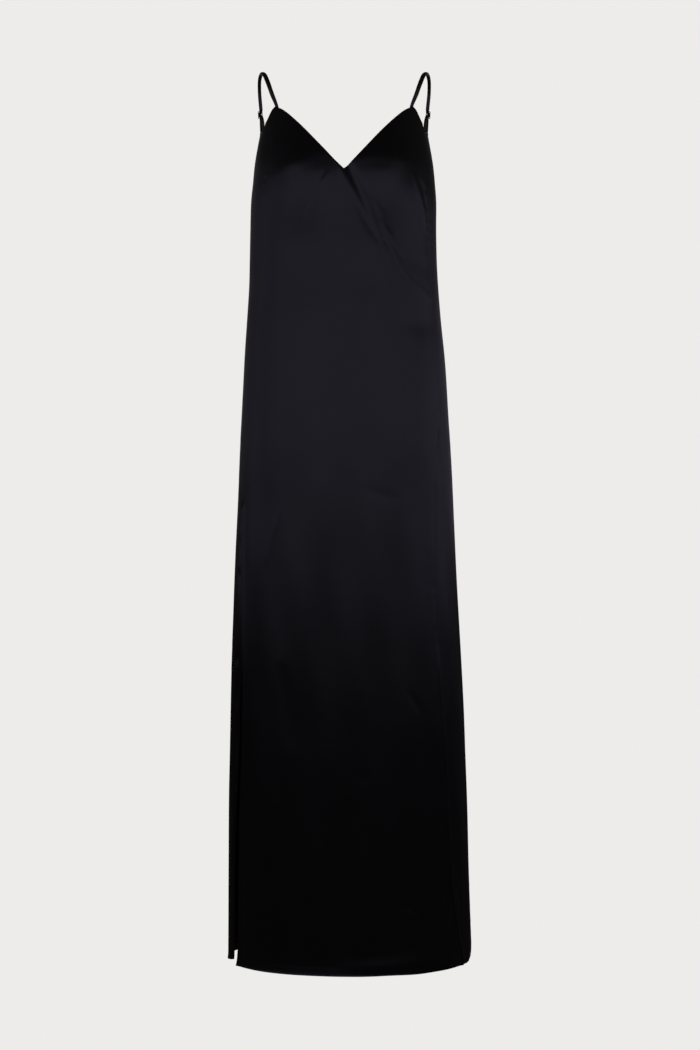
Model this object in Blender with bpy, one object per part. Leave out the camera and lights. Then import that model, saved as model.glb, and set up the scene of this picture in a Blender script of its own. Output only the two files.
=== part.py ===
"""A satin slip dress in its worn, hollow form, as thin cloth walls with straps, sliders and rings.

Units are metres. +X is the wearer's left, the front faces -Y and +Z is up. The origin lies
midway between the tops of the two straps, where the wearer's shoulders carry the dress.

The dress form is a stack of soft-cornered oval sections, one table row for each height. A place
on it is an angle round the section and a height. The front and back panels are cut from that
form along the neck, the armholes, the back edge, the side seams, the slit and the hem.
"""

import math
from collections import namedtuple

import bpy
from mathutils import Vector

# ---------------------------------------------------------------- driving dimensions
CLOTH = 0.0012            # satin wall, with its turned edges pressed flat
SEAM_GAP = 0.0003         # between neighbouring pieces
SIDE_LINE_Y = 0.015       # depth of the line where each section is widest
HEM_Z = -1.371
SLIT_TOP_Z = -0.666
SEAM_TOP_Z = -0.104       # where the front and back meet at the armholes
NECK_POINT_X = 0.1055     # top corner of the front, where a strap is sewn in
BODICE_Z = -0.300         # below this the rows of both panels are level

# One row for each height of the form. left and right reach from the middle plane to the
# widest points, front and back reach from the side line, and the two squareness values are
# the powers of the oval: 2 is an ellipse, and more is boxier.
Section = namedtuple("Section", "z left right front back front_square back_square")
SECTIONS = (
    Section(-0.050, 0.122, 0.122, 0.091, 0.080, 2.4, 2.9),
    Section(-0.100, 0.131, 0.132, 0.100, 0.086, 2.3, 2.9),
    Section(-0.140, 0.138, 0.139, 0.106, 0.090, 2.3, 2.7),
    Section(-0.170, 0.141, 0.142, 0.110, 0.091, 2.3, 2.6),
    Section(-0.200, 0.143, 0.145, 0.113, 0.090, 2.3, 2.5),
    Section(-0.240, 0.143, 0.146, 0.116, 0.086, 2.3, 2.4),
    Section(-0.290, 0.144, 0.147, 0.117, 0.081, 2.3, 2.3),
    Section(-0.330, 0.146, 0.148, 0.118, 0.079, 2.3, 2.3),
    Section(-0.380, 0.150, 0.151, 0.120, 0.081, 2.3, 2.3),
    Section(-0.440, 0.156, 0.155, 0.125, 0.090, 2.3, 2.3),
    Section(-0.500, 0.160, 0.158, 0.130, 0.101, 2.3, 2.3),
    Section(-0.570, 0.164, 0.161, 0.134, 0.109, 2.3, 2.3),
    Section(-0.660, 0.169, 0.165, 0.137, 0.111, 2.2, 2.2),
    Section(-0.760, 0.174, 0.170, 0.139, 0.110, 2.2, 2.2),
    Section(-0.880, 0.180, 0.174, 0.142, 0.111, 2.2, 2.2),
    Section(-1.000, 0.186, 0.176, 0.145, 0.113, 2.2, 2.2),
    Section(-1.120, 0.190, 0.179, 0.148, 0.116, 2.2, 2.2),
    Section(-1.240, 0.194, 0.180, 0.151, 0.119, 2.2, 2.2),
    Section(-1.320, 0.197, 0.180, 0.153, 0.121, 2.2, 2.2),
    Section(HEM_Z, 0.198, 0.180, 0.155, 0.122, 2.2, 2.2),
)

# The soft fullness over the bust: where it is deepest, and how far it fades out.
CUP_X = 0.072
CUP_Z = -0.172
CUP_DEPTH = 0.023
CUP_WIDE = 0.060
CUP_UP = 0.072
CUP_DOWN = 0.092

# Where the side seams run, in degrees forward of the side line.
Seam = namedtuple("Seam", "z left right")
SEAMS = (
    Seam(-0.100, 21.0, 21.0),
    Seam(-0.120, 26.0, 26.0),
    Seam(-0.150, 30.0, 31.0),
    Seam(-0.200, 30.0, 32.0),
    Seam(-0.300, 27.0, 30.0),
    Seam(-0.400, 25.0, 27.0),
    Seam(-0.500, 26.0, 24.5),
    Seam(-0.600, 33.0, 22.0),
    Seam(-0.666, 37.0, 21.0),
    Seam(-0.760, 40.0, 24.0),
    Seam(-0.840, 41.0, 27.0),
    Seam(-0.920, 40.0, 29.0),
    Seam(-1.050, 37.5, 29.0),
    Seam(-1.240, 35.0, 28.0),
    Seam(-1.320, 30.0, 28.0),
    Seam(HEM_Z, 24.0, 26.0),
)

# The slit follows the right side seam. Its back edge stands back from that line, opening downward.
SlitRow = namedtuple("SlitRow", "z open")
SLIT = (
    SlitRow(SLIT_TOP_Z, 0.0),
    SlitRow(-0.900, 0.0),
    SlitRow(-0.980, 0.010),
    SlitRow(-1.090, 0.012),
    SlitRow(-1.190, 0.019),
    SlitRow(-1.295, 0.023),
    SlitRow(-1.350, 0.025),
    SlitRow(HEM_Z, 0.021),
)

# The neck edge, from the point of the V out to the top corner: distance from the middle, height.
EdgePoint = namedtuple("EdgePoint", "x z")
NECK_EDGE = (
    EdgePoint(0.0000, -0.1645),
    EdgePoint(0.0120, -0.1525),
    EdgePoint(0.0330, -0.1295),
    EdgePoint(0.0550, -0.1050),
    EdgePoint(0.0715, -0.0875),
    EdgePoint(0.0910, -0.0690),
    EdgePoint(NECK_POINT_X, -0.0595),
)
ARMHOLE_EDGE = (
    EdgePoint(NECK_POINT_X, -0.0595),
    EdgePoint(0.1110, -0.0645),
    EdgePoint(0.1150, -0.0720),
    EdgePoint(0.1188, -0.0790),
    EdgePoint(0.1225, -0.0860),
    EdgePoint(0.1245, -0.0950),
    EdgePoint(0.1250, SEAM_TOP_Z),
)

# The back edge, by angle behind the side line: from the seam up to the strap and down to the middle.
STRAP_DEGREES = 12.0
BackEdge = namedtuple("BackEdge", "degrees z")
BACK_EDGE = (
    BackEdge(-24.0, SEAM_TOP_Z),
    BackEdge(-5.0, -0.0965),
    BackEdge(STRAP_DEGREES, -0.0955),
    BackEdge(34.0, -0.112),
    BackEdge(60.0, -0.150),
    BackEdge(90.0, -0.166),
    BackEdge(120.0, -0.150),
)

# The largest folds, each a soft trough (depth below 0) or ridge along a line down the front.
Fold = namedtuple("Fold", "x_top z_top x_end z_end half_width height")
FOLDS = (
    Fold(0.003, -0.176, 0.048, -0.268, 0.010, -0.0030),
    Fold(0.052, -0.300, 0.066, -0.350, 0.009, -0.0018),
    Fold(0.036, -0.205, 0.092, -0.335, 0.012, 0.0030),
    Fold(0.104, -0.175, 0.136, -0.300, 0.012, 0.0030),
    Fold(0.100, -0.345, 0.146, -0.362, 0.012, 0.0028),
    Fold(0.096, -0.300, 0.142, -0.322, 0.013, -0.0030),
)

# Straps, sliders and rings.
STRAP_WIDTH = 0.0051
STRAP_THICK = 0.0020
LEG_TURN = 1.0            # how far the rear leg turns from flat on the panel to facing back
LEG_OUT = 0.0016         # how far the rear leg stands out from the back edge
STRAP_TUCK = 0.012        # sewn in behind the top corner of the front
TUCK_X = 0.1045           # of the tucked end, from the middle
TAB_TUCK = 0.010          # of the ring's tab, sewn in behind the back edge
TAB_RISE = 0.0020         # of the tab straight up past the back edge, before it turns to the ring
TAB_TURN_RADIUS = 0.0031  # of the tab round the ring's wire
SEWN_ROOM = 0.0011        # between a strap or tab and the flat facets that it is sewn inside
SLIDER_PITCH = 0.0054     # between the slider's bars
SLIDER_BAR = 0.0011
SLIDER_SIDE_ROOM = 0.0004
WEAVE = 0.0020            # how far the strap swings to each side of the slider's bars
RING_RADIUS = 0.0048
RING_WIRE = 0.0007
TURN_RADIUS = 0.0028      # of the strap round the ring's wire
STRAP_BEVEL = 0.00055     # of the rouleau's long edges
SLIDER_BEVEL = 0.0003

# Distances along the rear leg, measured down from the back edge, so those above it are negative.
RING_DOWN = -0.0095
WIRE_DOWN = RING_DOWN - RING_RADIUS
SLIDER_DOWN = -0.0380
WEAVE_REACH = 1.1 * SLIDER_PITCH      # above and below the middle bar, where the strap swings
WEAVE_START = 1.6 * SLIDER_PITCH      # above the middle bar, where the strap comes in behind
WIRE_OUT = -(WEAVE + TURN_RADIUS)
SHOULDER_SHARE = 0.6      # of the run over the shoulder, where the strap lies square to the side

# The strap's run over the shoulder, from the front corner to the start of the rear leg.
StrapPoint = namedtuple("StrapPoint", "x y z")
SHOULDER_RUN = (
    StrapPoint(0.1107, -0.0400, -0.0400),
    StrapPoint(0.1166, -0.0345, -0.0215),
    StrapPoint(0.1222, -0.0220, -0.0050),
    StrapPoint(0.1263, 0.0000, 0.0010),
    StrapPoint(0.1312, 0.0230, -0.0055),
    StrapPoint(0.1333, 0.0330, -0.0230),
)

# Steps along the straps and rings.
SPAN_STEPS = 4
WEAVE_STEPS = 16
TURN_STEPS = 8
TAB_TURN_STEPS = 4        # fewer, as the tab's twisted sections would cross if they lay closer
RING_STEPS = 24
WIRE_SIDES = 8

# Rows and columns of the panels' grids.
FRONT_CENTRE_COLUMNS = 10
ARMHOLE_COLUMNS = 5
BACK_COLUMNS = 22
BODICE_ROWS = 13
SKIRT_LEVELS = (BODICE_Z, -0.318, -0.336, -0.354, -0.375, -0.405, -0.440, -0.475, -0.510, -0.545, -0.580,
                -0.625, SLIT_TOP_Z, -0.730, -0.800, -0.880, -0.960, -1.040, -1.120, -1.200, -1.280, HEM_Z)

Finish = namedtuple("Finish", "colour roughness metallic")
SATIN = Finish((0.010, 0.010, 0.013, 1.0), 0.38, 0.0)
BLACK_ENAMEL = Finish((0.008, 0.008, 0.010, 1.0), 0.30, 0.0)


# ---------------------------------------------------------------- the form
def lookup(rows, key, value):
    """The row of a table at a key's value, on a smooth curve through the table's rows."""
    keys = [getattr(row, key) for row in rows]
    rising = keys[-1] > keys[0]
    last = len(rows) - 2
    at = 0
    while at < last and (value > keys[at + 1]) == rising and value != keys[at + 1]:
        at += 1
    span = keys[at + 1] - keys[at]
    u = min(1.0, max(0.0, (value - keys[at]) / span))
    out = []
    for column in range(len(rows[0])):
        here, there = rows[at][column], rows[at + 1][column]
        before = rows[max(at - 1, 0)]
        after = rows[min(at + 2, len(rows) - 1)]
        slope_here = (there - before[column]) / (keys[at + 1] - getattr(before, key)) * span
        slope_there = (after[column] - here) / (getattr(after, key) - keys[at]) * span
        out.append((2 * u**3 - 3 * u**2 + 1) * here + (u**3 - 2 * u**2 + u) * slope_here
                   + (3 * u**2 - 2 * u**3) * there + (u**3 - u**2) * slope_there)
    return type(rows[0])(*out)


def cup_push(x, z):
    """How far the bust's fullness stands forward of the plain section."""
    fade = CUP_UP if z > CUP_Z else CUP_DOWN
    push = 0.0
    for side in (-1, 1):
        across = (x - side * CUP_X) / CUP_WIDE
        up = (z - CUP_Z) / fade
        push += CUP_DEPTH * math.exp(-across**2 - up**2)
    return push


def plain_point(angle, z):
    """A point of the unfolded form; angle 0 is the left side line and -90 degrees the centre front."""
    row = lookup(SECTIONS, "z", z)
    cosine, sine = math.cos(angle), math.sin(angle)
    middle = (row.left - row.right) / 2
    half_width = (row.right + row.left) / 2
    square, depth = (row.back_square, row.back) if sine > 0 else (row.front_square, row.front)
    x = middle + math.copysign(abs(cosine) ** (2 / square), cosine) * half_width
    y = SIDE_LINE_Y + math.copysign(abs(sine) ** (2 / square), sine) * depth
    if sine < 0:
        y -= cup_push(x, z) * min(1.0, -2.5 * sine)
    return Vector((x, y, z))


def outward(point_at, angle, z):
    """The outward normal of a surface given as a function of angle and height."""
    step_angle, step_z = math.radians(0.6), 0.002
    round_it = point_at(angle + step_angle, z) - point_at(angle - step_angle, z)
    up_it = point_at(angle, z + step_z) - point_at(angle, z - step_z)
    return round_it.cross(up_it).normalized()


def fold_height(x, z):
    """The sum of the folds' troughs and ridges at a place on the front."""
    total = 0.0
    for fold in FOLDS:
        run_x, run_z = fold.x_end - fold.x_top, fold.z_end - fold.z_top
        length = math.hypot(run_x, run_z)
        along = ((x - fold.x_top) * run_x + (z - fold.z_top) * run_z) / length**2
        if not 0.0 < along < 1.0:
            continue
        across = ((x - fold.x_top) * run_z - (z - fold.z_top) * run_x) / length
        total += fold.height * math.sin(math.pi * along) * math.exp(-(across / fold.half_width)**2)
    return total


def dress_point(angle, z):
    """A point of the dress's outer face, folds included."""
    point = plain_point(angle, z)
    if math.sin(angle) < 0:
        height = fold_height(point.x, z)
        if height:
            point += outward(plain_point, angle, z) * height
    return point


def angle_at_x(x, z):
    """The angle on the front of the form whose point lies at x, found by halving."""
    low, high = -math.pi, 0.0
    for _ in range(40):
        middle = (low + high) / 2
        if plain_point(middle, z).x < x:
            low = middle
        else:
            high = middle
    return (low + high) / 2


def step_round(angle, z, distance):
    """The angle that lies a distance further round the section, counted towards +angle."""
    small = math.radians(0.2)
    speed = (plain_point(angle + small, z) - plain_point(angle - small, z)).length / (2 * small)
    return angle + distance / speed


# ---------------------------------------------------------------- the panels' edges
def seam_angles(z):
    """The left and right seams' angles at a height, both on the front half."""
    row = lookup(SEAMS, "z", z)
    return -math.radians(row.left), -math.pi + math.radians(row.right)


def slit_open(z):
    """How far the slit's back edge stands back from the right seam's line."""
    return max(lookup(SLIT, "z", z).open, 0.0) if z < SLIT_TOP_Z else 0.0


def front_edges(z):
    """The angles of the front panel's right and left edges."""
    left, right = seam_angles(z)
    return step_round(right, z, SEAM_GAP / 2), step_round(left, z, -SEAM_GAP / 2)


def back_edges(z):
    """The angles of the back panel's left and right edges, counted on round the back."""
    left, right = seam_angles(z)
    edge = step_round(right, z, -slit_open(z) - SEAM_GAP / 2)
    return step_round(left, z, SEAM_GAP / 2), edge + 2 * math.pi


def edge_z(rows, x):
    """The height of a cut edge at a distance from the middle."""
    return lookup(rows, "x", x).z


def front_columns():
    """For each column of the front: its share of the way from centre to seam, and its top height."""
    columns = []
    top_seam = abs(dress_point(seam_angles(ARMHOLE_EDGE[-1].z)[0], ARMHOLE_EDGE[-1].z).x)
    for index in range(FRONT_CENTRE_COLUMNS + 1):
        x = NECK_POINT_X * index / FRONT_CENTRE_COLUMNS
        columns.append((x, edge_z(NECK_EDGE, x)))
    for index in range(1, ARMHOLE_COLUMNS + 1):
        x = NECK_POINT_X + (top_seam - NECK_POINT_X) * index / ARMHOLE_COLUMNS
        columns.append((x, edge_z(ARMHOLE_EDGE, min(x, ARMHOLE_EDGE[-1].x))))
    shares = []
    for x, z in columns:
        angle = angle_at_x(x, z)
        left_edge = front_edges(z)[1]
        share = (angle + math.pi / 2) / (left_edge + math.pi / 2)
        shares.append((min(share, 1.0), z))
    shares[0] = (0.0, NECK_EDGE[0].z)
    shares[-1] = (1.0, ARMHOLE_EDGE[-1].z)
    return [(-share, z) for share, z in reversed(shares[1:])] + shares


def front_angle(share, z):
    """The angle of a front column at a height: share -1 is the right edge and 1 the left edge."""
    right_edge, left_edge = front_edges(z)
    if share < 0:
        return -math.pi / 2 - share * (right_edge + math.pi / 2)
    return -math.pi / 2 + share * (left_edge + math.pi / 2)


def back_top(angle):
    """The height of the back edge at an angle, the same on both sides."""
    degrees = math.degrees(angle)
    if degrees > 90:
        degrees = 180 - degrees
    return lookup(BACK_EDGE, "degrees", degrees).z


# ---------------------------------------------------------------- meshes
def add_object(name, points, faces, finish):
    """A new object from points and faces, with a material of its own, shaded smooth."""
    mesh = bpy.data.meshes.new(name)
    mesh.from_pydata([tuple(point) for point in points], [], faces)
    mesh.validate()
    material = bpy.data.materials.new(name)
    material.use_nodes = True
    shader = material.node_tree.nodes["Principled BSDF"]
    shader.inputs["Base Color"].default_value = finish.colour
    shader.inputs["Roughness"].default_value = finish.roughness
    shader.inputs["Metallic"].default_value = finish.metallic
    mesh.materials.append(material)
    mesh.shade_smooth()
    mesh.set_sharp_from_angle(angle=math.radians(40))
    made = bpy.data.objects.new(name, mesh)
    bpy.context.scene.collection.objects.link(made)
    return made


def wall(name, grid, finish):
    """A closed cloth wall from a grid of (angle, z) places: rows run down, columns run to +angle."""
    rows, columns = len(grid), len(grid[0])
    outer, inner = [], []
    for row in grid:
        for angle, z in row:
            point = dress_point(angle, z)
            outer.append(point)
            inner.append(point - outward(dress_point, angle, z) * CLOTH)
    count = rows * columns
    faces = []
    for i in range(rows - 1):
        for j in range(columns - 1):
            a, b = i * columns + j, i * columns + j + 1
            c, d = b + columns, a + columns
            faces.append((a, d, c, b))
            faces.append((a + count, b + count, c + count, d + count))
    rim = list(range(columns))
    rim += [i * columns + columns - 1 for i in range(1, rows)]
    rim += [(rows - 1) * columns + j for j in range(columns - 2, -1, -1)]
    rim += [i * columns for i in range(rows - 2, 0, -1)]
    for here, there in zip(rim, rim[1:] + rim[:1]):
        faces.append((here, there, there + count, here + count))
    return add_object(name, outer + inner, faces, finish)


def build_front():
    """The front panel, from the V neck to the hem."""
    columns = front_columns()
    grid = []
    for index in range(BODICE_ROWS):
        heights = [top + (BODICE_Z - top) * index / BODICE_ROWS for _, top in columns]
        grid.append([(front_angle(share, z), z) for (share, _), z in zip(columns, heights)])
    for z in SKIRT_LEVELS:
        grid.append([(front_angle(share, z), z) for share, _ in columns])
    return wall("front_panel", grid, SATIN)


def build_back():
    """The back panel, from its low back edge to the hem."""
    shares = []
    for index in range(BACK_COLUMNS + 1):
        even = index / BACK_COLUMNS
        closer_at_sides = 0.5 - 0.5 * math.cos(math.pi * even)
        shares.append((even + closer_at_sides) / 2)

    def across(share, z):
        """The angle of a back column at a height."""
        left_edge, right_edge = back_edges(z)
        return left_edge + (right_edge - left_edge) * share

    tops = []
    for share in shares:
        z = BACK_EDGE[0].z
        for _ in range(6):
            z = back_top(across(share, z))
        tops.append(z)
    tops[0] = tops[-1] = SEAM_TOP_Z
    grid = []
    for index in range(BODICE_ROWS):
        heights = [top + (BODICE_Z - top) * index / BODICE_ROWS for top in tops]
        grid.append([(across(share, z), z) for share, z in zip(shares, heights)])
    for z in SKIRT_LEVELS:
        grid.append([(across(share, z), z) for share in shares])
    return wall("back_panel", grid, SATIN)


# ---------------------------------------------------------------- straps
def smooth_run(points, steps):
    """Points along a smooth curve through the given points, steps to each span."""
    run = []
    last = len(points) - 1
    for index in range(last):
        before, here = points[max(index - 1, 0)], points[index]
        there, after = points[index + 1], points[min(index + 2, last)]
        for step in range(steps):
            u = step / steps
            run.append(here * (1 - u) ** 2 * (1 + 2 * u) + there * u**2 * (3 - 2 * u)
                       + (there - before) * 0.5 * u * (1 - u) ** 2 - (after - here) * 0.5 * u**2 * (1 - u))
    run.append(points[-1])
    return run


def ribbon(name, path, width_axes, finish):
    """A flat rouleau swept along a path; each place has the axis that its width lies along."""
    half_width, half_thick = STRAP_WIDTH / 2, STRAP_THICK / 2
    flat_width, flat_thick = half_width - STRAP_BEVEL, half_thick - STRAP_BEVEL
    profile = ((half_width, flat_thick), (flat_width, half_thick),
               (-flat_width, half_thick), (-half_width, flat_thick),
               (-half_width, -flat_thick), (-flat_width, -half_thick),
               (flat_width, -half_thick), (half_width, -flat_thick))
    sides = len(profile)
    points, faces = [], []
    for index, centre in enumerate(path):
        ahead, behind = path[min(index + 1, len(path) - 1)], path[max(index - 1, 0)]
        tangent = (ahead - behind).normalized()
        wide = width_axes[index]
        wide = (wide - tangent * wide.dot(tangent)).normalized()
        thick = tangent.cross(wide)
        points += [centre + wide * across + thick * up for across, up in profile]
    for ring in range(len(path) - 1):
        for side in range(sides):
            following = (side + 1) % sides
            a, b = ring * sides + side, ring * sides + following
            faces += [(a, b, b + sides), (a, b + sides, a + sides)]
    faces.append(tuple(reversed(range(sides))))
    faces.append(tuple(len(points) - sides + side for side in range(sides)))
    return add_object(name, points, faces, finish)


class RearFrame:
    """The place and axes of one rear strap leg: down it, out from the body and across it."""

    def __init__(self, side):
        self.side = side
        angle = math.radians(STRAP_DEGREES)
        if side < 0:
            angle = math.pi - angle
        self.angle = angle
        self.top = back_top(angle)
        leg_start = mirrored(SHOULDER_RUN[-1], side)
        self.panel_out = outward(dress_point, angle, self.top)
        self.edge = dress_point(angle, self.top) + self.panel_out * LEG_OUT
        facing = self.panel_out + Vector((0, LEG_TURN, 0))
        self.down = (self.edge - leg_start).normalized()
        self.out = (facing - self.down * facing.dot(self.down)).normalized()
        self.across = self.down.cross(self.out)

    def place(self, down, out):
        """A point at a distance down the leg from its lower end at the back edge, and out from it."""
        return self.edge + self.down * down + self.out * out

    def inside(self, down, inset):
        """A point a distance below the back edge, inside the back panel by an inset."""
        z = self.top - down
        return dress_point(self.angle, z) - outward(dress_point, self.angle, z) * inset


def mirrored(point, side):
    """A table's point on the wearer's left (side 1) or right (side -1)."""
    return Vector((point.x * side, point.y, point.z))


def weave_out(distance):
    """How far out the strap lies at a distance down from the slider's middle bar."""
    if abs(distance) < SLIDER_PITCH:
        return WEAVE * math.cos(math.pi * distance / SLIDER_PITCH)
    return -WEAVE


def build_strap(side, label):
    """One strap: sewn in at the front, over the shoulder, through the slider and round the ring."""
    frame = RearFrame(side)
    corner_z = NECK_EDGE[-1].z
    corner_angle = angle_at_x(NECK_POINT_X * side, corner_z)
    low_angle = angle_at_x(TUCK_X * side, corner_z - STRAP_TUCK)
    inset = CLOTH + SEWN_ROOM + STRAP_THICK / 2
    front = []
    for angle, z in ((low_angle, corner_z - STRAP_TUCK), (corner_angle, corner_z)):
        front.append(dress_point(angle, z) - outward(dress_point, angle, z) * inset)
    panel_out = outward(dress_point, corner_angle, corner_z)
    shoulder = [mirrored(point, side) for point in SHOULDER_RUN]
    path = smooth_run(front + shoulder + [frame.place(SLIDER_DOWN - WEAVE_START, -WEAVE)], SPAN_STEPS)
    top_count = len(path)

    for step in range(1, WEAVE_STEPS + 1):
        distance = WEAVE_REACH * (2 * step / WEAVE_STEPS - 1)
        path.append(frame.place(SLIDER_DOWN + distance, weave_out(distance)))
    path.append(frame.place((SLIDER_DOWN + WIRE_DOWN) / 2, -WEAVE))
    for step in range(TURN_STEPS + 1):
        turn = math.pi * step / TURN_STEPS
        path.append(frame.place(WIRE_DOWN + TURN_RADIUS * math.sin(turn),
                                WIRE_OUT + TURN_RADIUS * math.cos(turn)))
    end_gap = SLIDER_BAR / 2 + SEAM_GAP + STRAP_THICK / 2
    clear = -WEAVE - STRAP_THICK - 2 * SEAM_GAP
    path.append(frame.place((SLIDER_DOWN + WIRE_DOWN) / 2, (WIRE_OUT - TURN_RADIUS + clear) / 2))
    path.append(frame.place(SLIDER_DOWN + SLIDER_PITCH, clear))
    path.append(frame.place(SLIDER_DOWN + SLIDER_PITCH / 2, (clear - end_gap) / 2))
    path.append(frame.place(SLIDER_DOWN, -end_gap))

    shoulder_axis = Vector((side, 0, 0))
    front_axis = panel_out.cross(Vector((0, 0, -side))).normalized()
    rear_axis = frame.across if frame.across.dot(shoulder_axis) > 0 else -frame.across
    axes = []
    for index in range(len(path)):
        way = min(1.0, index / (top_count - 1))
        if way < SHOULDER_SHARE:
            axes.append(front_axis.lerp(shoulder_axis, way / SHOULDER_SHARE))
        else:
            axes.append(shoulder_axis.lerp(rear_axis, (way - SHOULDER_SHARE) / (1 - SHOULDER_SHARE)))
    return ribbon(f"strap_{label}", path, axes, SATIN)


def build_ring_tab(side, label):
    """The short loop through the ring, its two ends sewn flat inside the back edge."""
    frame = RearFrame(side)
    lower_wire = RING_DOWN + RING_RADIUS
    near = CLOTH + SEWN_ROOM + STRAP_THICK / 2
    far = near + STRAP_THICK + SEAM_GAP
    path = [frame.inside(TAB_TUCK, near), frame.inside(0.0, near), frame.inside(-TAB_RISE, near)]
    for step in range(TAB_TURN_STEPS + 1):
        turn = math.pi * step / TAB_TURN_STEPS
        path.append(frame.place(lower_wire - TAB_TURN_RADIUS * math.sin(turn),
                                WIRE_OUT + TAB_TURN_RADIUS * math.cos(turn)))
    path += [frame.inside(-TAB_RISE, far), frame.inside(0.0, far), frame.inside(TAB_TUCK, far)]
    flat_axis = frame.down.cross(frame.panel_out)
    turned = [flat_axis.lerp(frame.across, 0.5)]
    sewn = [flat_axis] * 3
    axes = sewn + turned + [frame.across] * (TAB_TURN_STEPS - 1) + turned + sewn
    return ribbon(f"ring_tab_{label}", path, axes, SATIN)


def build_ring(side, label):
    """The round ring that joins the strap to its tab."""
    frame = RearFrame(side)
    centre = frame.place(RING_DOWN, WIRE_OUT)
    points, faces = [], []
    for i in range(RING_STEPS):
        turn = 2 * math.pi * i / RING_STEPS
        spoke = frame.down * math.cos(turn) + frame.across * math.sin(turn)
        for j in range(WIRE_SIDES):
            tilt = 2 * math.pi * j / WIRE_SIDES
            points.append(centre + spoke * (RING_RADIUS + RING_WIRE * math.cos(tilt))
                          + frame.out * RING_WIRE * math.sin(tilt))
    for i in range(RING_STEPS):
        here, there = i * WIRE_SIDES, (i + 1) % RING_STEPS * WIRE_SIDES
        for j in range(WIRE_SIDES):
            k = (j + 1) % WIRE_SIDES
            faces.append((here + j, here + k, there + k, there + j))
    return fix_facing(add_object(f"ring_{label}", points, faces, BLACK_ENAMEL))


def build_slider(side, label):
    """The slider: two side bars and three cross bars, with the strap woven through its slots."""
    frame = RearFrame(side)
    half_slot = STRAP_WIDTH / 2 + SLIDER_SIDE_ROOM
    across = (-half_slot - SLIDER_BAR, -half_slot, half_slot, half_slot + SLIDER_BAR)
    down = []
    for bar in (-1, 0, 1):
        down += [bar * SLIDER_PITCH - SLIDER_BAR / 2, bar * SLIDER_PITCH + SLIDER_BAR / 2]
    points = []
    for out in (-SLIDER_BAR / 2, SLIDER_BAR / 2):
        for distance in down:
            base = frame.place(SLIDER_DOWN + distance, out)
            points += [base + frame.across * place for place in across]
    columns, layer = len(across), len(across) * len(down)
    solid = [[not (i == 1 and j % 2) for i in range(columns - 1)] for j in range(len(down) - 1)]

    def filled(i, j):
        """Whether a cell of the slider's plan is metal."""
        return 0 <= j < len(solid) and 0 <= i < columns - 1 and solid[j][i]

    faces = []
    for j in range(len(down) - 1):
        for i in range(columns - 1):
            if not filled(i, j):
                continue
            a, b = j * columns + i, j * columns + i + 1
            c, d = b + columns, a + columns
            faces.append((a, b, c, d))
            faces.append((d + layer, c + layer, b + layer, a + layer))
            sides = ((a, b, i, j - 1), (b, c, i + 1, j), (c, d, i, j + 1), (d, a, i - 1, j))
            for start, end, beside_i, beside_j in sides:
                if not filled(beside_i, beside_j):
                    faces.append((end, start, start + layer, end + layer))
    made = fix_facing(add_object(f"slider_{label}", points, faces, BLACK_ENAMEL))
    bevel = made.modifiers.new("soft edges", "BEVEL")
    bevel.width = SLIDER_BEVEL
    bevel.segments = 1
    return made


def fix_facing(made):
    """Turns a closed mesh's faces outward where its volume comes out negative."""
    mesh = made.data
    volume = 0.0
    mesh.calc_loop_triangles()
    for triangle in mesh.loop_triangles:
        a, b, c = (mesh.vertices[index].co for index in triangle.vertices)
        volume += a.dot(b.cross(c))
    if volume < 0:
        mesh.flip_normals()
    return made


def main():
    """Clears the scene and builds every piece."""
    for old in list(bpy.data.objects):
        bpy.data.objects.remove(old)
    build_front()
    build_back()
    for side, label in ((1, "left"), (-1, "right")):
        build_strap(side, label)
        build_ring_tab(side, label)
        build_ring(side, label)
        build_slider(side, label)


main()
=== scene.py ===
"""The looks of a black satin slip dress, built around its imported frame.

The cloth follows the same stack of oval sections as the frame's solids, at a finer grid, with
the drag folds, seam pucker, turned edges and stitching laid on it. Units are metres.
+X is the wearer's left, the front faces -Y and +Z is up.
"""

import logging
import math
from dataclasses import dataclass, field
from enum import Enum
from typing import NamedTuple, Sequence

import bpy
import numpy as np
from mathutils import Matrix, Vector


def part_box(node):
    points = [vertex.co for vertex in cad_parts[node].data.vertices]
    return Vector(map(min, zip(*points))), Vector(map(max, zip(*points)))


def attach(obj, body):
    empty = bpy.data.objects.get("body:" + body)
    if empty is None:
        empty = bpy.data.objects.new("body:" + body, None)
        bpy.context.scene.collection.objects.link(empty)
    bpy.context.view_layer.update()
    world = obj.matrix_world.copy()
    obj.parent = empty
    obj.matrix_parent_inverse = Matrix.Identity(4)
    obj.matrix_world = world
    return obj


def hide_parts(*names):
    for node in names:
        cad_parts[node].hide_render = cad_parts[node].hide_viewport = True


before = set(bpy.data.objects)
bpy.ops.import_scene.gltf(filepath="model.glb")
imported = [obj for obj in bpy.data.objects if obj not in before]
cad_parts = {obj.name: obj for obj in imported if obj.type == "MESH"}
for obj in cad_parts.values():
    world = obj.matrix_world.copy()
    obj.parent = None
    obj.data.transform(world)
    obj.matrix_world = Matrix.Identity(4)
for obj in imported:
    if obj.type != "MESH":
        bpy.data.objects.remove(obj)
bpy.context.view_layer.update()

log = logging.getLogger("slip_dress")

Array = np.ndarray
Node = bpy.types.Node
Socket = bpy.types.NodeSocket


class Side(Enum):
    """A side of the dress, as the wearer has it."""

    LEFT = 1
    RIGHT = -1

    @property
    def label(self) -> str:
        """The side's word in the names of pieces."""
        return self.name.lower()


class Slot(Enum):
    """The finishes that the record names."""

    SATIN = "satin"
    STRAP = "strap_satin"
    METAL = "strap_metal"


# ---------------------------------------------------------------- the form's tables
def rows(kind: type, table: Sequence[tuple]) -> tuple:
    """A table's rows with their columns named."""
    return tuple(kind(*row) for row in table)


class Section(NamedTuple):
    """A level cut through the form: its reach each way, and how boxy its front and back are."""

    z: float
    left: float
    right: float
    front: float
    back: float
    front_square: float
    back_square: float


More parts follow.
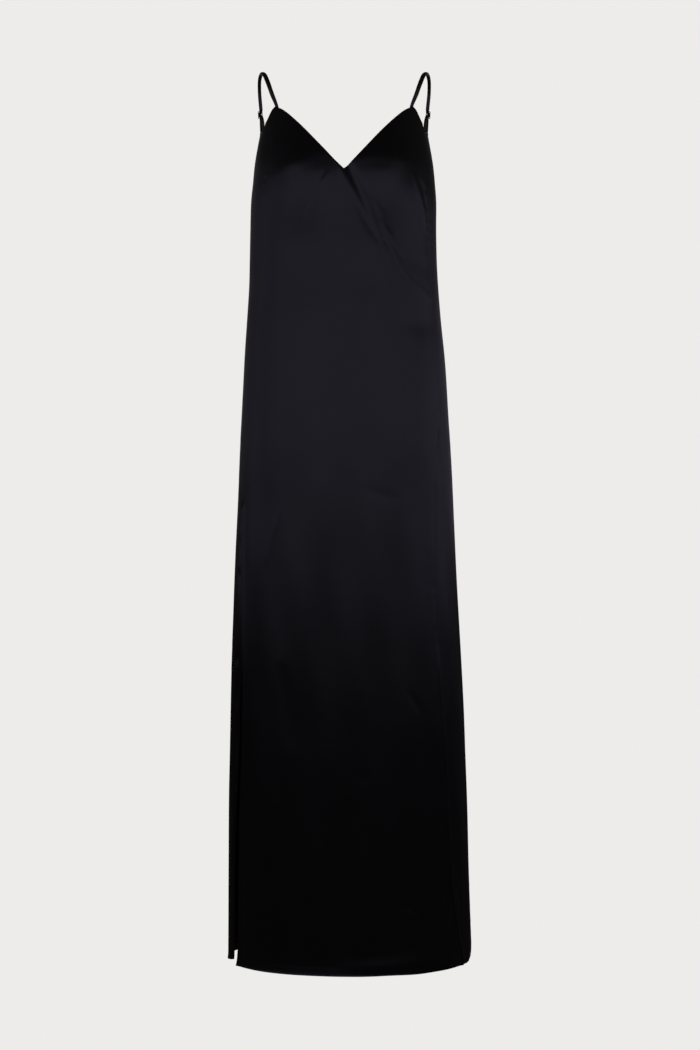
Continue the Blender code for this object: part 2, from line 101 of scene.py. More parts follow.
class Seam(NamedTuple):
    """How far forward of the side line each side seam runs, in degrees."""

    z: float
    left: float
    right: float


class SlitRow(NamedTuple):
    """How far the slit stands open at a height."""

    z: float
    open: float


class EdgePoint(NamedTuple):
    """A point of a cut edge: its distance from the middle, and its height."""

    x: float
    z: float


class BackEdge(NamedTuple):
    """A point of the back edge: degrees behind the side line, and height."""

    degrees: float
    z: float


class Crease(NamedTuple):
    """A soft trough (height below 0) or ridge along a bowed line on a panel.

    Places are heights, with distances from the middle towards the wearer's left on the front,
    and distances round the panel from its centre line, towards the wearer's right, on the back.
    """

    top: float
    z_top: float
    middle: float
    z_middle: float
    end: float
    z_end: float
    half_width: float
    height: float


class StrapPoint(NamedTuple):
    """A point of the strap's run over the wearer's left shoulder."""

    x: float
    y: float
    z: float


HEM_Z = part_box("front_panel")[0].z
SLIT_TOP_Z = -0.666
SEAM_TOP_Z = -0.104
SIDE_LINE_Y = 0.015
NECK_POINT_X = 0.1055
STRAP_DEGREES = 12.0
STRAP_FOOT_Z = -0.0955
WEAVE_PITCH = 0.00016
SMOOTH_ANGLE = math.radians(50.0)      # edges sharper than this stay crisp
STITCH_ROOM = 0.0003                   # between layers that are sewn together

SECTIONS = rows(Section, (
    (-0.050, 0.122, 0.122, 0.091, 0.080, 2.4, 2.9),
    (-0.100, 0.131, 0.132, 0.100, 0.086, 2.3, 2.9),
    (-0.140, 0.138, 0.139, 0.106, 0.090, 2.3, 2.7),
    (-0.170, 0.141, 0.142, 0.110, 0.091, 2.3, 2.6),
    (-0.200, 0.143, 0.145, 0.113, 0.090, 2.3, 2.5),
    (-0.240, 0.143, 0.146, 0.116, 0.086, 2.3, 2.4),
    (-0.290, 0.144, 0.147, 0.117, 0.081, 2.3, 2.3),
    (-0.330, 0.146, 0.148, 0.118, 0.079, 2.3, 2.3),
    (-0.380, 0.150, 0.151, 0.120, 0.081, 2.3, 2.3),
    (-0.440, 0.156, 0.155, 0.125, 0.090, 2.3, 2.3),
    (-0.500, 0.160, 0.158, 0.130, 0.101, 2.3, 2.3),
    (-0.570, 0.164, 0.161, 0.134, 0.109, 2.3, 2.3),
    (-0.660, 0.169, 0.165, 0.137, 0.111, 2.2, 2.2),
    (-0.760, 0.174, 0.170, 0.139, 0.110, 2.2, 2.2),
    (-0.880, 0.180, 0.174, 0.142, 0.111, 2.2, 2.2),
    (-1.000, 0.186, 0.176, 0.145, 0.113, 2.2, 2.2),
    (-1.120, 0.190, 0.179, 0.148, 0.116, 2.2, 2.2),
    (-1.240, 0.194, 0.180, 0.151, 0.119, 2.2, 2.2),
    (-1.320, 0.197, 0.180, 0.153, 0.121, 2.2, 2.2),
    (-1.352, 0.198, 0.180, 0.154, 0.122, 2.2, 2.2),
    (-1.364, 0.197, 0.180, 0.155, 0.122, 2.2, 2.2),
    (-1.371, 0.194, 0.180, 0.155, 0.122, 2.2, 2.2),
))
SEAMS = rows(Seam, (
    (-0.100, 21.0, 21.0),
    (-0.120, 26.0, 26.0),
    (-0.150, 30.0, 31.0),
    (-0.200, 30.0, 32.0),
    (-0.300, 27.0, 30.0),
    (-0.400, 25.0, 27.0),
    (-0.500, 26.0, 24.5),
    (-0.600, 33.0, 22.0),
    (-0.666, 37.0, 21.0),
    (-0.760, 40.0, 24.0),
    (-0.840, 41.0, 27.0),
    (-0.920, 40.0, 29.0),
    (-1.050, 37.5, 29.0),
    (-1.240, 35.0, 28.0),
    (-1.320, 30.0, 28.0),
    (-1.371, 24.0, 26.0),
))
SLIT = rows(SlitRow, (
    (SLIT_TOP_Z, 0.0),
    (-0.800, 0.0),
    (-0.870, 0.005),
    (-0.930, 0.014),
    (-1.000, 0.018),
    (-1.090, 0.020),
    (-1.190, 0.025),
    (-1.295, 0.029),
    (-1.350, 0.030),
    (-1.371, 0.026),
))
NECK_EDGE = rows(EdgePoint, (
    (0.0000, -0.1645),
    (0.0120, -0.1525),
    (0.0330, -0.1295),
    (0.0550, -0.1050),
    (0.0715, -0.0875),
    (0.0910, -0.0690),
    (NECK_POINT_X, -0.0595),
))
ARMHOLE_EDGE = rows(EdgePoint, (
    (NECK_POINT_X, -0.0595),
    (0.1110, -0.0645),
    (0.1150, -0.0720),
    (0.1188, -0.0790),
    (0.1225, -0.0860),
    (0.1245, -0.0950),
    (0.1250, SEAM_TOP_Z),
))
BACK_EDGE = rows(BackEdge, (
    (-24.0, SEAM_TOP_Z),
    (-15.0, -0.0945),
    (-8.0, -0.0918),
    (1.0, -0.0918),
    (STRAP_DEGREES, -0.0940),
    (34.0, -0.112),
    (60.0, -0.150),
    (90.0, -0.166),
    (120.0, -0.150),
))

# The front's creases. The first group drags from the point of the V towards the wearer's left.
FRONT_CREASES = rows(Crease, (
    (-0.016, -0.137, 0.016, -0.209, 0.050, -0.276, 0.0058, 0.0019),
    (-0.007, -0.131, 0.025, -0.204, 0.060, -0.272, 0.0060, -0.0030),
    (0.042, -0.258, 0.048, -0.290, 0.064, -0.350, 0.0050, -0.0008),
    (-0.010, -0.160, 0.002, -0.186, 0.008, -0.232, 0.0065, 0.0011),
    (0.030, -0.206, 0.055, -0.258, 0.098, -0.340, 0.0050, 0.0013),
    (0.042, -0.208, 0.053, -0.226, 0.064, -0.250, 0.0045, -0.0006),
    (0.054, -0.240, 0.070, -0.268, 0.088, -0.304, 0.0055, -0.0008),
    (0.104, -0.166, 0.120, -0.216, 0.140, -0.292, 0.0040, 0.0014),
    (0.116, -0.176, 0.128, -0.206, 0.136, -0.246, 0.0060, -0.0012),
    (0.078, -0.290, 0.108, -0.304, 0.142, -0.318, 0.0130, -0.0007),
    (0.080, -0.316, 0.112, -0.346, 0.146, -0.362, 0.0050, 0.0006),
    (0.046, -0.390, 0.094, -0.402, 0.138, -0.392, 0.0110, -0.0008),
    # over and under the bust
    (0.006, -0.156, 0.060, -0.128, 0.122, -0.164, 0.0110, 0.0010),
    (-0.018, -0.134, -0.060, -0.146, -0.120, -0.178, 0.0115, 0.0011),
    (-0.140, -0.322, -0.075, -0.322, 0.004, -0.322, 0.0520, 0.0046),
    (-0.004, -0.322, 0.075, -0.322, 0.140, -0.322, 0.0520, 0.0040),
    # the wearer's right of the bodice
    (-0.022, -0.166, -0.036, -0.196, -0.056, -0.232, 0.0038, 0.0007),
    (-0.028, -0.170, -0.044, -0.200, -0.062, -0.236, 0.0045, -0.0006),
    (-0.020, -0.171, -0.030, -0.180, -0.042, -0.194, 0.0032, 0.0005),
    (-0.104, -0.098, -0.106, -0.126, -0.112, -0.162, 0.0065, 0.0008),
    # the hip and skirt
    (-0.094, -0.908, -0.088, -0.960, -0.078, -1.040, 0.0115, -0.0011),
    (-0.092, -0.668, -0.108, -0.706, -0.118, -0.762, 0.0045, 0.0007),
    (0.020, -0.641, 0.052, -0.656, 0.084, -0.663, 0.0050, -0.0004),
    (0.010, -0.605, 0.013, -0.614, 0.017, -0.626, 0.0030, 0.0004),
    (0.094, -0.944, 0.106, -0.966, 0.120, -0.990, 0.0050, -0.0004),
    (0.084, -1.262, 0.104, -1.276, 0.130, -1.292, 0.0060, -0.0007),
    (0.088, -1.280, 0.104, -1.286, 0.118, -1.282, 0.0045, 0.0003),
    (0.000, -1.100, 0.004, -1.170, 0.011, -1.235, 0.0110, -0.0009),
    (0.010, -1.068, 0.026, -1.076, 0.044, -1.080, 0.0070, -0.0003),
    (-0.010, -1.356, 0.070, -1.360, 0.150, -1.348, 0.0095, 0.0015),
))

# The back's creases: drags from the straps, folds pooled at the small of the back, long flutes.
BACK_CREASES = rows(Crease, (
    (0.098, -0.108, 0.086, -0.150, 0.052, -0.206, 0.0090, 0.0018),
    (0.112, -0.114, 0.104, -0.160, 0.080, -0.222, 0.0080, -0.0016),
    (-0.100, -0.108, -0.088, -0.148, -0.060, -0.196, 0.0090, 0.0016),
    (-0.114, -0.116, -0.108, -0.164, -0.088, -0.232, 0.0090, -0.0018),
    (-0.140, -0.292, -0.060, -0.316, 0.030, -0.306, 0.0100, -0.0026),
    (-0.128, -0.312, -0.050, -0.334, 0.036, -0.326, 0.0095, 0.0022),
    (-0.020, -0.334, 0.060, -0.350, 0.146, -0.330, 0.0100, -0.0024),
    (0.000, -0.352, 0.070, -0.370, 0.150, -0.352, 0.0110, 0.0020),
    (-0.150, -0.356, -0.096, -0.376, -0.030, -0.378, 0.0100, -0.0018),
    (0.060, -0.286, 0.104, -0.276, 0.150, -0.252, 0.0080, 0.0014),
    (-0.150, -0.420, -0.110, -0.436, -0.060, -0.430, 0.0090, 0.0012),
    (0.084, -0.398, 0.120, -0.420, 0.160, -0.428, 0.0100, -0.0013),
    (0.030, -0.620, 0.044, -0.760, 0.070, -0.960, 0.0180, 0.0022),
    (0.062, -0.660, 0.082, -0.800, 0.112, -1.000, 0.0160, -0.0020),
    (-0.040, -0.640, -0.056, -0.820, -0.078, -1.050, 0.0190, 0.0020),
    (-0.090, -0.700, -0.108, -0.860, -0.126, -1.040, 0.0150, -0.0018),
    (-0.006, -0.700, -0.004, -0.940, -0.012, -1.200, 0.0200, -0.0020),
    (0.130, -0.980, 0.150, -1.120, 0.156, -1.300, 0.0160, 0.0016),
    (-0.150, -1.000, -0.158, -1.150, -0.170, -1.310, 0.0150, 0.0015),
    (0.036, -1.040, 0.050, -1.180, 0.052, -1.340, 0.0170, -0.0017),
    (-0.060, -1.120, -0.066, -1.240, -0.074, -1.360, 0.0150, 0.0016),
))

SHOULDER_RUN = rows(StrapPoint, (
    (0.1107, -0.0400, -0.0400),
    (0.1168, -0.0345, -0.0222),
    (0.1228, -0.0220, -0.0072),
    (0.1282, 0.0000, -0.0016),
    (0.1322, 0.0230, -0.0070),
    (0.1327, 0.0330, -0.0235),
))


class SmoothTable:
    """A smooth curve through a table's rows, read at many keys at once.

    The first column is the key. Between rows each column is a cubic whose slope at a row is
    that of the line joining its two neighbours.
    """

    def __init__(self, rows: Sequence[Sequence[float]]) -> None:
        """Sorts the rows by key and works out the slopes.

        Args:
            rows: The table, its key rising or falling.
        """
        data = np.array(rows, float)
        data = data[np.argsort(data[:, 0])]
        self.keys, self.values = data[:, 0], data[:, 1:]
        after = np.minimum(np.arange(len(data)) + 1, len(data) - 1)
        before = np.maximum(np.arange(len(data)) - 1, 0)
        run = (self.keys[after] - self.keys[before])[:, None]
        self.slopes = (self.values[after] - self.values[before]) / run

    def read(self, key: Array) -> Array:
        """The other columns at each key, as one array for each column.

        Args:
            key: Keys of any shape.

        Returns:
            An array with the columns first and the keys' shape after.
        """
        key = np.asarray(key, float)
        at = np.clip(np.searchsorted(self.keys, key) - 1, 0, len(self.keys) - 2)
        span = self.keys[at + 1] - self.keys[at]
        u = np.clip((key - self.keys[at]) / span, 0.0, 1.0)[..., None]
        span = span[..., None]
        here, there = self.values[at], self.values[at + 1]
        leave, arrive = self.slopes[at] * span, self.slopes[at + 1] * span
        out = ((2 * u**3 - 3 * u**2 + 1) * here + (u**3 - 2 * u**2 + u) * leave
               + (3 * u**2 - 2 * u**3) * there + (u**3 - u**2) * arrive)
        return np.moveaxis(out, -1, 0)


def ramp(low: float, high: float, value: Array) -> Array:
    """A soft step from 0 at low to 1 at high."""
    t = np.clip((np.asarray(value, float) - low) / (high - low), 0.0, 1.0)
    return t * t * (3 - 2 * t)


def bell(value: Array, width: float) -> Array:
    """A bell that is 1 at 0 and falls away over a width."""
    return np.exp(-(np.asarray(value, float) / width) ** 2)


def unit(vectors: Array) -> Array:
    """Vectors scaled to length 1."""
    return vectors / np.maximum(np.linalg.norm(vectors, axis=-1, keepdims=True), 1e-12)


@dataclass(frozen=True)
class Bust:
    """The soft fullness of the front over the bust."""

    x: float = 0.072
    z: float = -0.172
    depth: float = 0.023
    wide: float = 0.060
    up: float = 0.072
    down: float = 0.092

    def push(self, x: Array, z: Array) -> Array:
        """How far the cloth stands forward of the plain section.

        Args:
            x: Distances from the middle.
            z: Heights.

        Returns:
            The distances forward.
        """
        fade = np.where(z > self.z, self.up, self.down)
        rise = ((z - self.z) / fade) ** 2
        left = np.exp(-((x - self.x) / self.wide) ** 2 - rise)
        right = np.exp(-((x + self.x) / self.wide) ** 2 - rise)
        return self.depth * (left + right)


class DressForm:
    """The shape that both panels are cut from: a place is an angle round it and a height."""

    def __init__(self) -> None:
        """Prepares the smooth tables."""
        self.sections = SmoothTable(SECTIONS)
        self.seams = SmoothTable(SEAMS)
        self.slit = SmoothTable(SLIT)
        self.bust = Bust()

    def plain(self, angle: Array, z: Array) -> Array:
        """Points of the form with no creases.

        Args:
            angle: Angles round the section; 0 is the left side line and -90 degrees the centre front.
            z: Heights.

        Returns:
            Points, in an array with x, y and z last.
        """
        angle, z = np.broadcast_arrays(np.asarray(angle, float), np.asarray(z, float))
        left, right, front, back, front_square, back_square = self.sections.read(z)
        cosine, sine = np.cos(angle), np.sin(angle)
        square = np.where(sine > 0, back_square, front_square)
        depth = np.where(sine > 0, back, front)
        x = (left - right) / 2 + squared(cosine, square) * (left + right) / 2
        y = SIDE_LINE_Y + squared(sine, square) * depth
        y = y - np.where(sine < 0, self.bust.push(x, z) * np.minimum(1.0, -2.5 * sine), 0.0)
        return np.stack((x, y, z), axis=-1)

    def outward(self, angle: Array, z: Array) -> Array:
        """Outward directions at places on the form.

        Args:
            angle: Angles round the section.
            z: Heights.

        Returns:
            Directions of length 1.
        """
        turn, rise = math.radians(0.6), 0.002
        round_it = self.plain(angle + turn, z) - self.plain(angle - turn, z)
        up_it = self.plain(angle, z + rise) - self.plain(angle, z - rise)
        return unit(np.cross(round_it, up_it))

    def speed(self, angle: Array, z: Array) -> Array:
        """Metres travelled round the section for each radian.

        Args:
            angle: Angles round the section.
            z: Heights.

        Returns:
            The metres for each radian.
        """
        small = math.radians(0.2)
        run = self.plain(angle + small, z) - self.plain(angle - small, z)
        return np.linalg.norm(run, axis=-1) / (2 * small)

    def travel(self, start: float, angle: Array, z: Array) -> Array:
        """Metres round the section from a start angle to each place.

        Args:
            start: The angle to measure from.
            angle: Angles of the places.
            z: Heights of the places.

        Returns:
            Distances, negative where the angle is less than the start.
        """
        steps = 14
        total = np.zeros(np.shape(angle))
        for step in range(steps):
            total += self.speed(start + (angle - start) * (step + 0.5) / steps, z)
        return total * (angle - start) / steps

    def angle_at_x(self, x: Array, z: Array) -> Array:
        """Finds places on the front by halving.

        Args:
            x: Distances from the middle.
            z: Heights.

        Returns:
            The angles whose points lie at x.
        """
        low = np.full(np.shape(x), -math.pi)
        high = np.zeros(np.shape(x))
        for _ in range(40):
            middle = (low + high) / 2
            short = self.plain(middle, z)[..., 0] < x
            low, high = np.where(short, middle, low), np.where(short, high, middle)
        return (low + high) / 2

    def seam_angles(self, z: Array) -> tuple[Array, Array]:
        """The left and right side seams' angles at each height."""
        left, right = self.seams.read(z)
        return -np.radians(left), -math.pi + np.radians(right)

    def slit_open(self, z: Array) -> Array:
        """How far the slit's back edge stands back from the seam's line."""
        opened = np.maximum(self.slit.read(z)[0], 0.0)
        return np.where(np.asarray(z) < SLIT_TOP_Z, opened, 0.0)


def crease_height(creases: Sequence[Crease], across: Array, z: Array) -> Array:
    """The sum of the creases' troughs and ridges at each place of a panel.

    Args:
        creases: The table.
        across: Distances across the panel, as the table has them.
        z: Heights.

    Returns:
        How far each place stands out.
    """
    total = np.zeros(across.shape)
    pieces = 10
    for crease in creases:
        t = np.linspace(0.0, 1.0, pieces + 1)
        run = (1 - t) ** 2 * crease.top + 2 * t * (1 - t) * crease.middle + t**2 * crease.end
        fall = (1 - t) ** 2 * crease.z_top + 2 * t * (1 - t) * crease.z_middle + t**2 * crease.z_end
        reach = 3.2 * crease.half_width
        near = ((across > run.min() - reach) & (across < run.max() + reach)
                & (z > fall.min() - reach) & (z < fall.max() + reach))
        px, pz = across[near], z[near]
        nearest = np.full(px.shape, 1e9)
        along = np.zeros(px.shape)
        for i in range(pieces):
            ax, az, bx, bz = run[i], fall[i], run[i + 1] - run[i], fall[i + 1] - fall[i]
            share = np.clip(((px - ax) * bx + (pz - az) * bz) / (bx * bx + bz * bz), 0.0, 1.0)
            distance = np.hypot(px - ax - share * bx, pz - az - share * bz)
            closer = distance < nearest
            nearest = np.where(closer, distance, nearest)
            along = np.where(closer, (i + share) / pieces, along)
        fade = np.sin(math.pi * np.clip(along, 0.0, 1.0)) ** 0.7
        width = crease.half_width * (0.75 + 0.5 * along)
        total[near] += crease.height * fade * np.exp(-(nearest / width) ** 2)
    return total


# ---------------------------------------------------------------- mesh helpers
def make_mesh(name: str, points: Array, faces: Sequence[Sequence[int]], cloth: Array | None = None
              ) -> bpy.types.Object:
    """A new object from points and faces.

    Args:
        name: The piece's name.
        points: Its points.
        faces: Its faces, as point numbers.
        cloth: A place on the flat cloth for each point, in metres, for the weave.

    Returns:
        The object, linked to the scene.
    """
    mesh = bpy.data.meshes.new(name)
    mesh.from_pydata(np.asarray(points, float).tolist(), [], [list(map(int, f)) for f in faces])
    if cloth is not None:
        layer = mesh.uv_layers.new(name="cloth")
        corner = np.empty(len(mesh.loops), np.int32)
        mesh.loops.foreach_get("vertex_index", corner)
        layer.data.foreach_set("uv", np.asarray(cloth, np.float32)[corner].ravel())
    mesh.shade_smooth()
    mesh.set_sharp_from_angle(angle=SMOOTH_ANGLE)
    made = bpy.data.objects.new(name, mesh)
    bpy.context.scene.collection.objects.link(made)
    return made


def grid_faces(rows: int, columns: int, start: int = 0, flip: bool = False) -> list[list[int]]:
    """The four-sided faces of a grid of points.

    Args:
        rows: Rows of points, running down.
        columns: Columns of points, running round the dress towards the wearer's left on the front.
        start: The first point's number.
        flip: Whether the faces look inward.

    Returns:
        The faces.
    """
    faces = []
    for i in range(rows - 1):
        for j in range(columns - 1):
            a = start + i * columns + j
            face = [a, a + columns, a + columns + 1, a + 1]
            faces.append(face[::-1] if flip else face)
    return faces


def sweep(path: Array, wide: Array, profile: Array, closed: bool = False) -> tuple[Array, list[list[int]]]:
    """A profile swept along a path.

    Args:
        path: The places of its centre.
        wide: The direction that the profile's first axis lies along, at each place.
        profile: The profile's points.
        closed: Whether the path joins up; an open one gets end caps.

    Returns:
        Points and faces.
    """
    if closed:
        tangent = unit(np.roll(path, -1, 0) - np.roll(path, 1, 0))
    else:
        tangent = unit(np.gradient(path, axis=0))
    wide = unit(wide - tangent * np.sum(wide * tangent, axis=-1, keepdims=True))
    thick = np.cross(tangent, wide)
    points = (path[:, None] + wide[:, None] * profile[None, :, :1] + thick[:, None] * profile[None, :, 1:])
    count, sides = len(path), len(profile)
    faces = []
    for i in range(count if closed else count - 1):
        for j in range(sides):
            k = (j + 1) % sides
            after = (i + 1) % count
            faces.append([i * sides + j, i * sides + k, after * sides + k, after * sides + j])
    if not closed:
        faces.append(list(range(sides))[::-1])
        faces.append([(count - 1) * sides + j for j in range(sides)])
    return points.reshape(-1, 3), faces


def squared(wave: Array, power: Array) -> Array:
    """A sine or cosine pushed out towards a square's; a power of 2 leaves it round."""
    return np.copysign(np.abs(wave) ** (2 / power), wave)


def oval(half_width: float, half_thick: float, power: float, sides: int) -> Array:
    """A soft-cornered oval profile, running round anticlockwise."""
    turn = 2 * math.pi * np.arange(sides) / sides
    return np.stack((squared(np.cos(turn), power) * half_width, squared(np.sin(turn), power) * half_thick), -1)


def joined(parts: Sequence[tuple[Array, list]]) -> tuple[Array, list]:
    """Several meshes as one.

    Args:
        parts: The points and faces of each.

    Returns:
        Points and faces.
    """
    points, faces, count = [], [], 0
    for some, sides in parts:
        faces += [[corner + count for corner in face] for face in sides]
        points.append(some)
        count += len(some)
    return np.concatenate(points), faces


def lengths(path: Array) -> Array:
    """How far each point lies along a path."""
    return np.concatenate(((0.0,), np.cumsum(np.linalg.norm(np.diff(path, axis=0), axis=1))))


# ---------------------------------------------------------------- shader groups
class NodeKit:
    """Short ways to add and join the nodes of one tree."""

    def __init__(self, tree: bpy.types.NodeTree) -> None:
        """Keeps the tree to work on."""
        self.tree = tree

    def put(self, node: Node, inputs: dict) -> None:
        """Sets a node's inputs, or links sockets into them.

        Args:
            node: The node.
            inputs: Values or sockets, by the input's name or number.
        """
        for key, value in inputs.items():
            if isinstance(value, bpy.types.NodeSocket):
                self.tree.links.new(value, node.inputs[key])
            else:
                node.inputs[key].default_value = value

    def add(self, kind: str, inputs: dict | None = None, **settings: object) -> Node:
        """A new node.

        Args:
            kind: The node's type, less the words ShaderNode.
            inputs: Values or sockets for its inputs, by name or number.
            settings: Its settings.

        Returns:
            The node.
        """
        node = self.tree.nodes.new("ShaderNode" + kind)
        for key, value in settings.items():
            setattr(node, key, value)
        self.put(node, inputs or {})
        return node

    def math(self, operation: str, *values: object) -> Socket:
        """A Math node's result from numbers or sockets."""
        return self.add("Math", dict(enumerate(values)), operation=operation).outputs[0]

    def fit(self, *values: object) -> Socket:
        """A value carried from a low and a high to another low and high, and held between them."""
        return self.add("MapRange", dict(enumerate(values))).outputs[0]

    def blend(self, share: object, first: object, second: object) -> Socket:
        """A colour mixed from two."""
        return self.add("Mix", {0: share, 6: first, 7: second}, data_type="RGBA").outputs[2]

    def seen_or_lit(self, lit: Node, seen: Node, out: Node) -> None:
        """Shows one shader to the eye and another to the light.

        Args:
            lit: The shader that light meets.
            seen: The shader that the eye sees.
            out: The tree's output node.
        """
        rays = self.add("LightPath")
        choice = self.add("MixShader", {0: rays.outputs["Is Camera Ray"], 1: lit.outputs[0], 2: seen.outputs[0]})
        self.put(out, {"Surface": choice.outputs[0]})


def new_group(name: str, number: str, value: float, outputs: tuple[str, str]) -> tuple[NodeKit, Node, Node]:
    """A shader node group that takes a place on the cloth and a number, and gives two numbers.

    Args:
        name: The group's name.
        number: The name of its number.
        value: The number's plain value.
        outputs: The names of what it gives.

    Returns:
        A kit for the group, its input node and its output node.
    """
    tree = bpy.data.node_groups.new(name, "ShaderNodeTree")
    tree.interface.new_socket("Cloth", in_out="INPUT", socket_type="NodeSocketVector")
    given = tree.interface.new_socket(number, in_out="INPUT", socket_type="NodeSocketFloat")
    given.default_value = value
    for label in outputs:
        tree.interface.new_socket(label, in_out="OUTPUT", socket_type="NodeSocketFloat")
    return NodeKit(tree), tree.nodes.new("NodeGroupInput"), tree.nodes.new("NodeGroupOutput")


def new_material(name: str) -> tuple[bpy.types.Material, NodeKit, Node]:
    """A new material.

    Args:
        name: The material's name.

    Returns:
        The material, a kit for its nodes and its Principled shader.
    """
    material = bpy.data.materials.new(name)
    material.use_nodes = True
    return material, NodeKit(material.node_tree), material.node_tree.nodes["Principled BSDF"]


def weave_group() -> bpy.types.NodeTree:
    """Satin weave: long warp floats side by side, each dipping under one weft thread in five.

    Returns:
        The group, which gives the threads' height and where a float dips.
    """
    kit, given, out = new_group("satin_weave", "Pitch", WEAVE_PITCH, ("Height", "Dip"))
    apart = kit.add("SeparateXYZ", {0: given.outputs["Cloth"]})
    warp = kit.math("DIVIDE", apart.outputs[0], given.outputs["Pitch"])
    weft = kit.math("DIVIDE", apart.outputs[1], given.outputs["Pitch"])
    thread = kit.math("FLOOR", warp)
    round_top = kit.math("SINE", kit.math("MULTIPLY", kit.math("FRACT", warp), math.pi))
    step = kit.math("MULTIPLY", thread, 0.4)
    float_place = kit.math("FRACT", kit.math("ADD", kit.math("MULTIPLY", weft, 0.2), step))
    from_dip = kit.math("ABSOLUTE", kit.math("SUBTRACT", float_place, 0.5))
    dip = kit.fit(from_dip, 0.36, 0.5, 0.0, 1.0)
    height = kit.math("SUBTRACT", round_top, kit.math("MULTIPLY", dip, 0.7))
    kit.put(out, {"Height": height, "Dip": dip})
    return kit.tree


def cloth_variation_group() -> bpy.types.NodeTree:
    """Uneven cloth.

    Returns:
        The group, which gives fine streaks along the warp, and broad soft patches.
    """
    kit, given, out = new_group("cloth_variation", "Streaks", 1.0, ("Streak", "Patch"))
    place = given.outputs["Cloth"]
    stretch = kit.add("Mapping", {"Vector": place, "Scale": (900.0, 16.0, 1.0)}, vector_type="POINT")
    fine = {"Vector": stretch.outputs[0], "Scale": 1.0, "Detail": 2.0}
    streak = kit.add("TexNoise", fine, noise_dimensions="2D")
    patch = kit.add("TexNoise", {"Vector": place, "Scale": 22.0, "Detail": 3.0}, noise_dimensions="2D")
    centred = kit.math("SUBTRACT", streak.outputs["Fac"], 0.5)
    strong = kit.math("MULTIPLY", centred, given.outputs["Streaks"])
    kit.put(out, {"Streak": kit.math("ADD", strong, 0.5), "Patch": patch.outputs["Fac"]})
    return kit.tree


@dataclass(frozen=True)
class SatinFinish:
    """Black satin: glossy along its warp floats, blurred across them."""

    name: str = "black_satin"
    face: tuple[float, float, float] = (0.0039, 0.0038, 0.0042)
    # painted shade: the inner face is a darker copy of the outer face's colour
    inside: tuple[float, float, float] = (0.0030, 0.0030, 0.0033)
    # painted shade: the darker colour laid into the weave's dips
    between: tuple[float, float, float] = (0.0015, 0.0015, 0.0018)
    tint: tuple[float, float, float] = (0.87, 0.84, 0.98)
    roughness: float = 0.355
    spread: float = 0.60
    ior: float = 1.52
    bump: float = 0.10

    def build(self, groups: dict[str, bpy.types.NodeTree]) -> bpy.types.Material:
        """Makes the material.

        Args:
            groups: The shared shader groups, by name.

        Returns:
            The material.
        """
        material, kit, shader = new_material(self.name)
        place = kit.add("UVMap", uv_map="cloth").outputs[0]
        weave = kit.add("Group", node_tree=groups["satin_weave"])
        kit.put(weave, {"Cloth": place, "Pitch": WEAVE_PITCH})
        uneven = kit.add("Group", node_tree=groups["cloth_variation"])
        kit.put(uneven, {"Cloth": place, "Streaks": 1.0})
        # The backfacing inner side takes the darker colour, as painted shade inside the dress.
        back = kit.add("NewGeometry").outputs["Backfacing"]
        cloth = kit.blend(back, (*self.face, 1.0), (*self.inside, 1.0))
        # painted shade in the weave's dips, darker where a float dips
        painted_dip_shade = kit.math("MULTIPLY", weave.outputs["Dip"], 0.35)
        rough = kit.fit(uneven.outputs["Streak"], 0.25, 0.75, self.roughness - 0.02, self.roughness + 0.02)
        soft = kit.fit(uneven.outputs["Patch"], 0.3, 0.7, -0.012, 0.012)
        relief = {"Strength": self.bump, "Distance": WEAVE_PITCH * 0.3, "Height": weave.outputs["Height"]}
        kit.put(shader, {
            "Base Color": kit.blend(painted_dip_shade, cloth, (*self.between, 1.0)),
            "Roughness": kit.math("ADD", rough, soft),
            "Normal": kit.add("Bump", relief).outputs[0],
            "IOR": self.ior,
            "Specular Tint": (*self.tint, 1.0),
            "Anisotropic": self.spread,
            "Tangent": kit.add("Tangent", direction_type="UV_MAP", uv_map="cloth").outputs[0],
        })
        return material


@dataclass(frozen=True)
class EnamelFinish:
    """Black enamel on small metal, with a trace of wear on the edges."""

    name: str = "black_enamel"
    colour: tuple[float, float, float] = (0.006, 0.006, 0.007)
    worn: tuple[float, float, float] = (0.05, 0.05, 0.055)
    roughness: float = 0.24

    def build(self, groups: dict[str, bpy.types.NodeTree]) -> bpy.types.Material:
        """Makes the material.

        Args:
            groups: The shared shader groups, by name; enamel uses none.

        Returns:
            The material.
        """
        material, kit, shader = new_material(self.name)
        place = kit.add("TexCoord").outputs["Object"]
        grain = kit.add("TexNoise", {"Vector": place, "Scale": 900.0, "Detail": 4.0}).outputs["Fac"]
        edge = kit.fit(kit.add("NewGeometry").outputs["Pointiness"], 0.54, 0.62, 0.0, 1.0)
        worn = kit.math("MULTIPLY", edge, kit.fit(grain, 0.5, 0.68, 0.0, 1.0))
        relief = {"Strength": 0.08, "Distance": 0.00005, "Height": grain}
        kit.put(shader, {
            "Base Color": kit.blend(worn, (*self.colour, 1.0), (*self.worn, 1.0)),
            "Roughness": kit.fit(grain, 0.3, 0.7, self.roughness - 0.04, self.roughness + 0.05),
            "Normal": kit.add("Bump", relief).outputs[0],
            "Coat Weight": 0.5,
            "Coat Roughness": 0.12,
        })
        return material


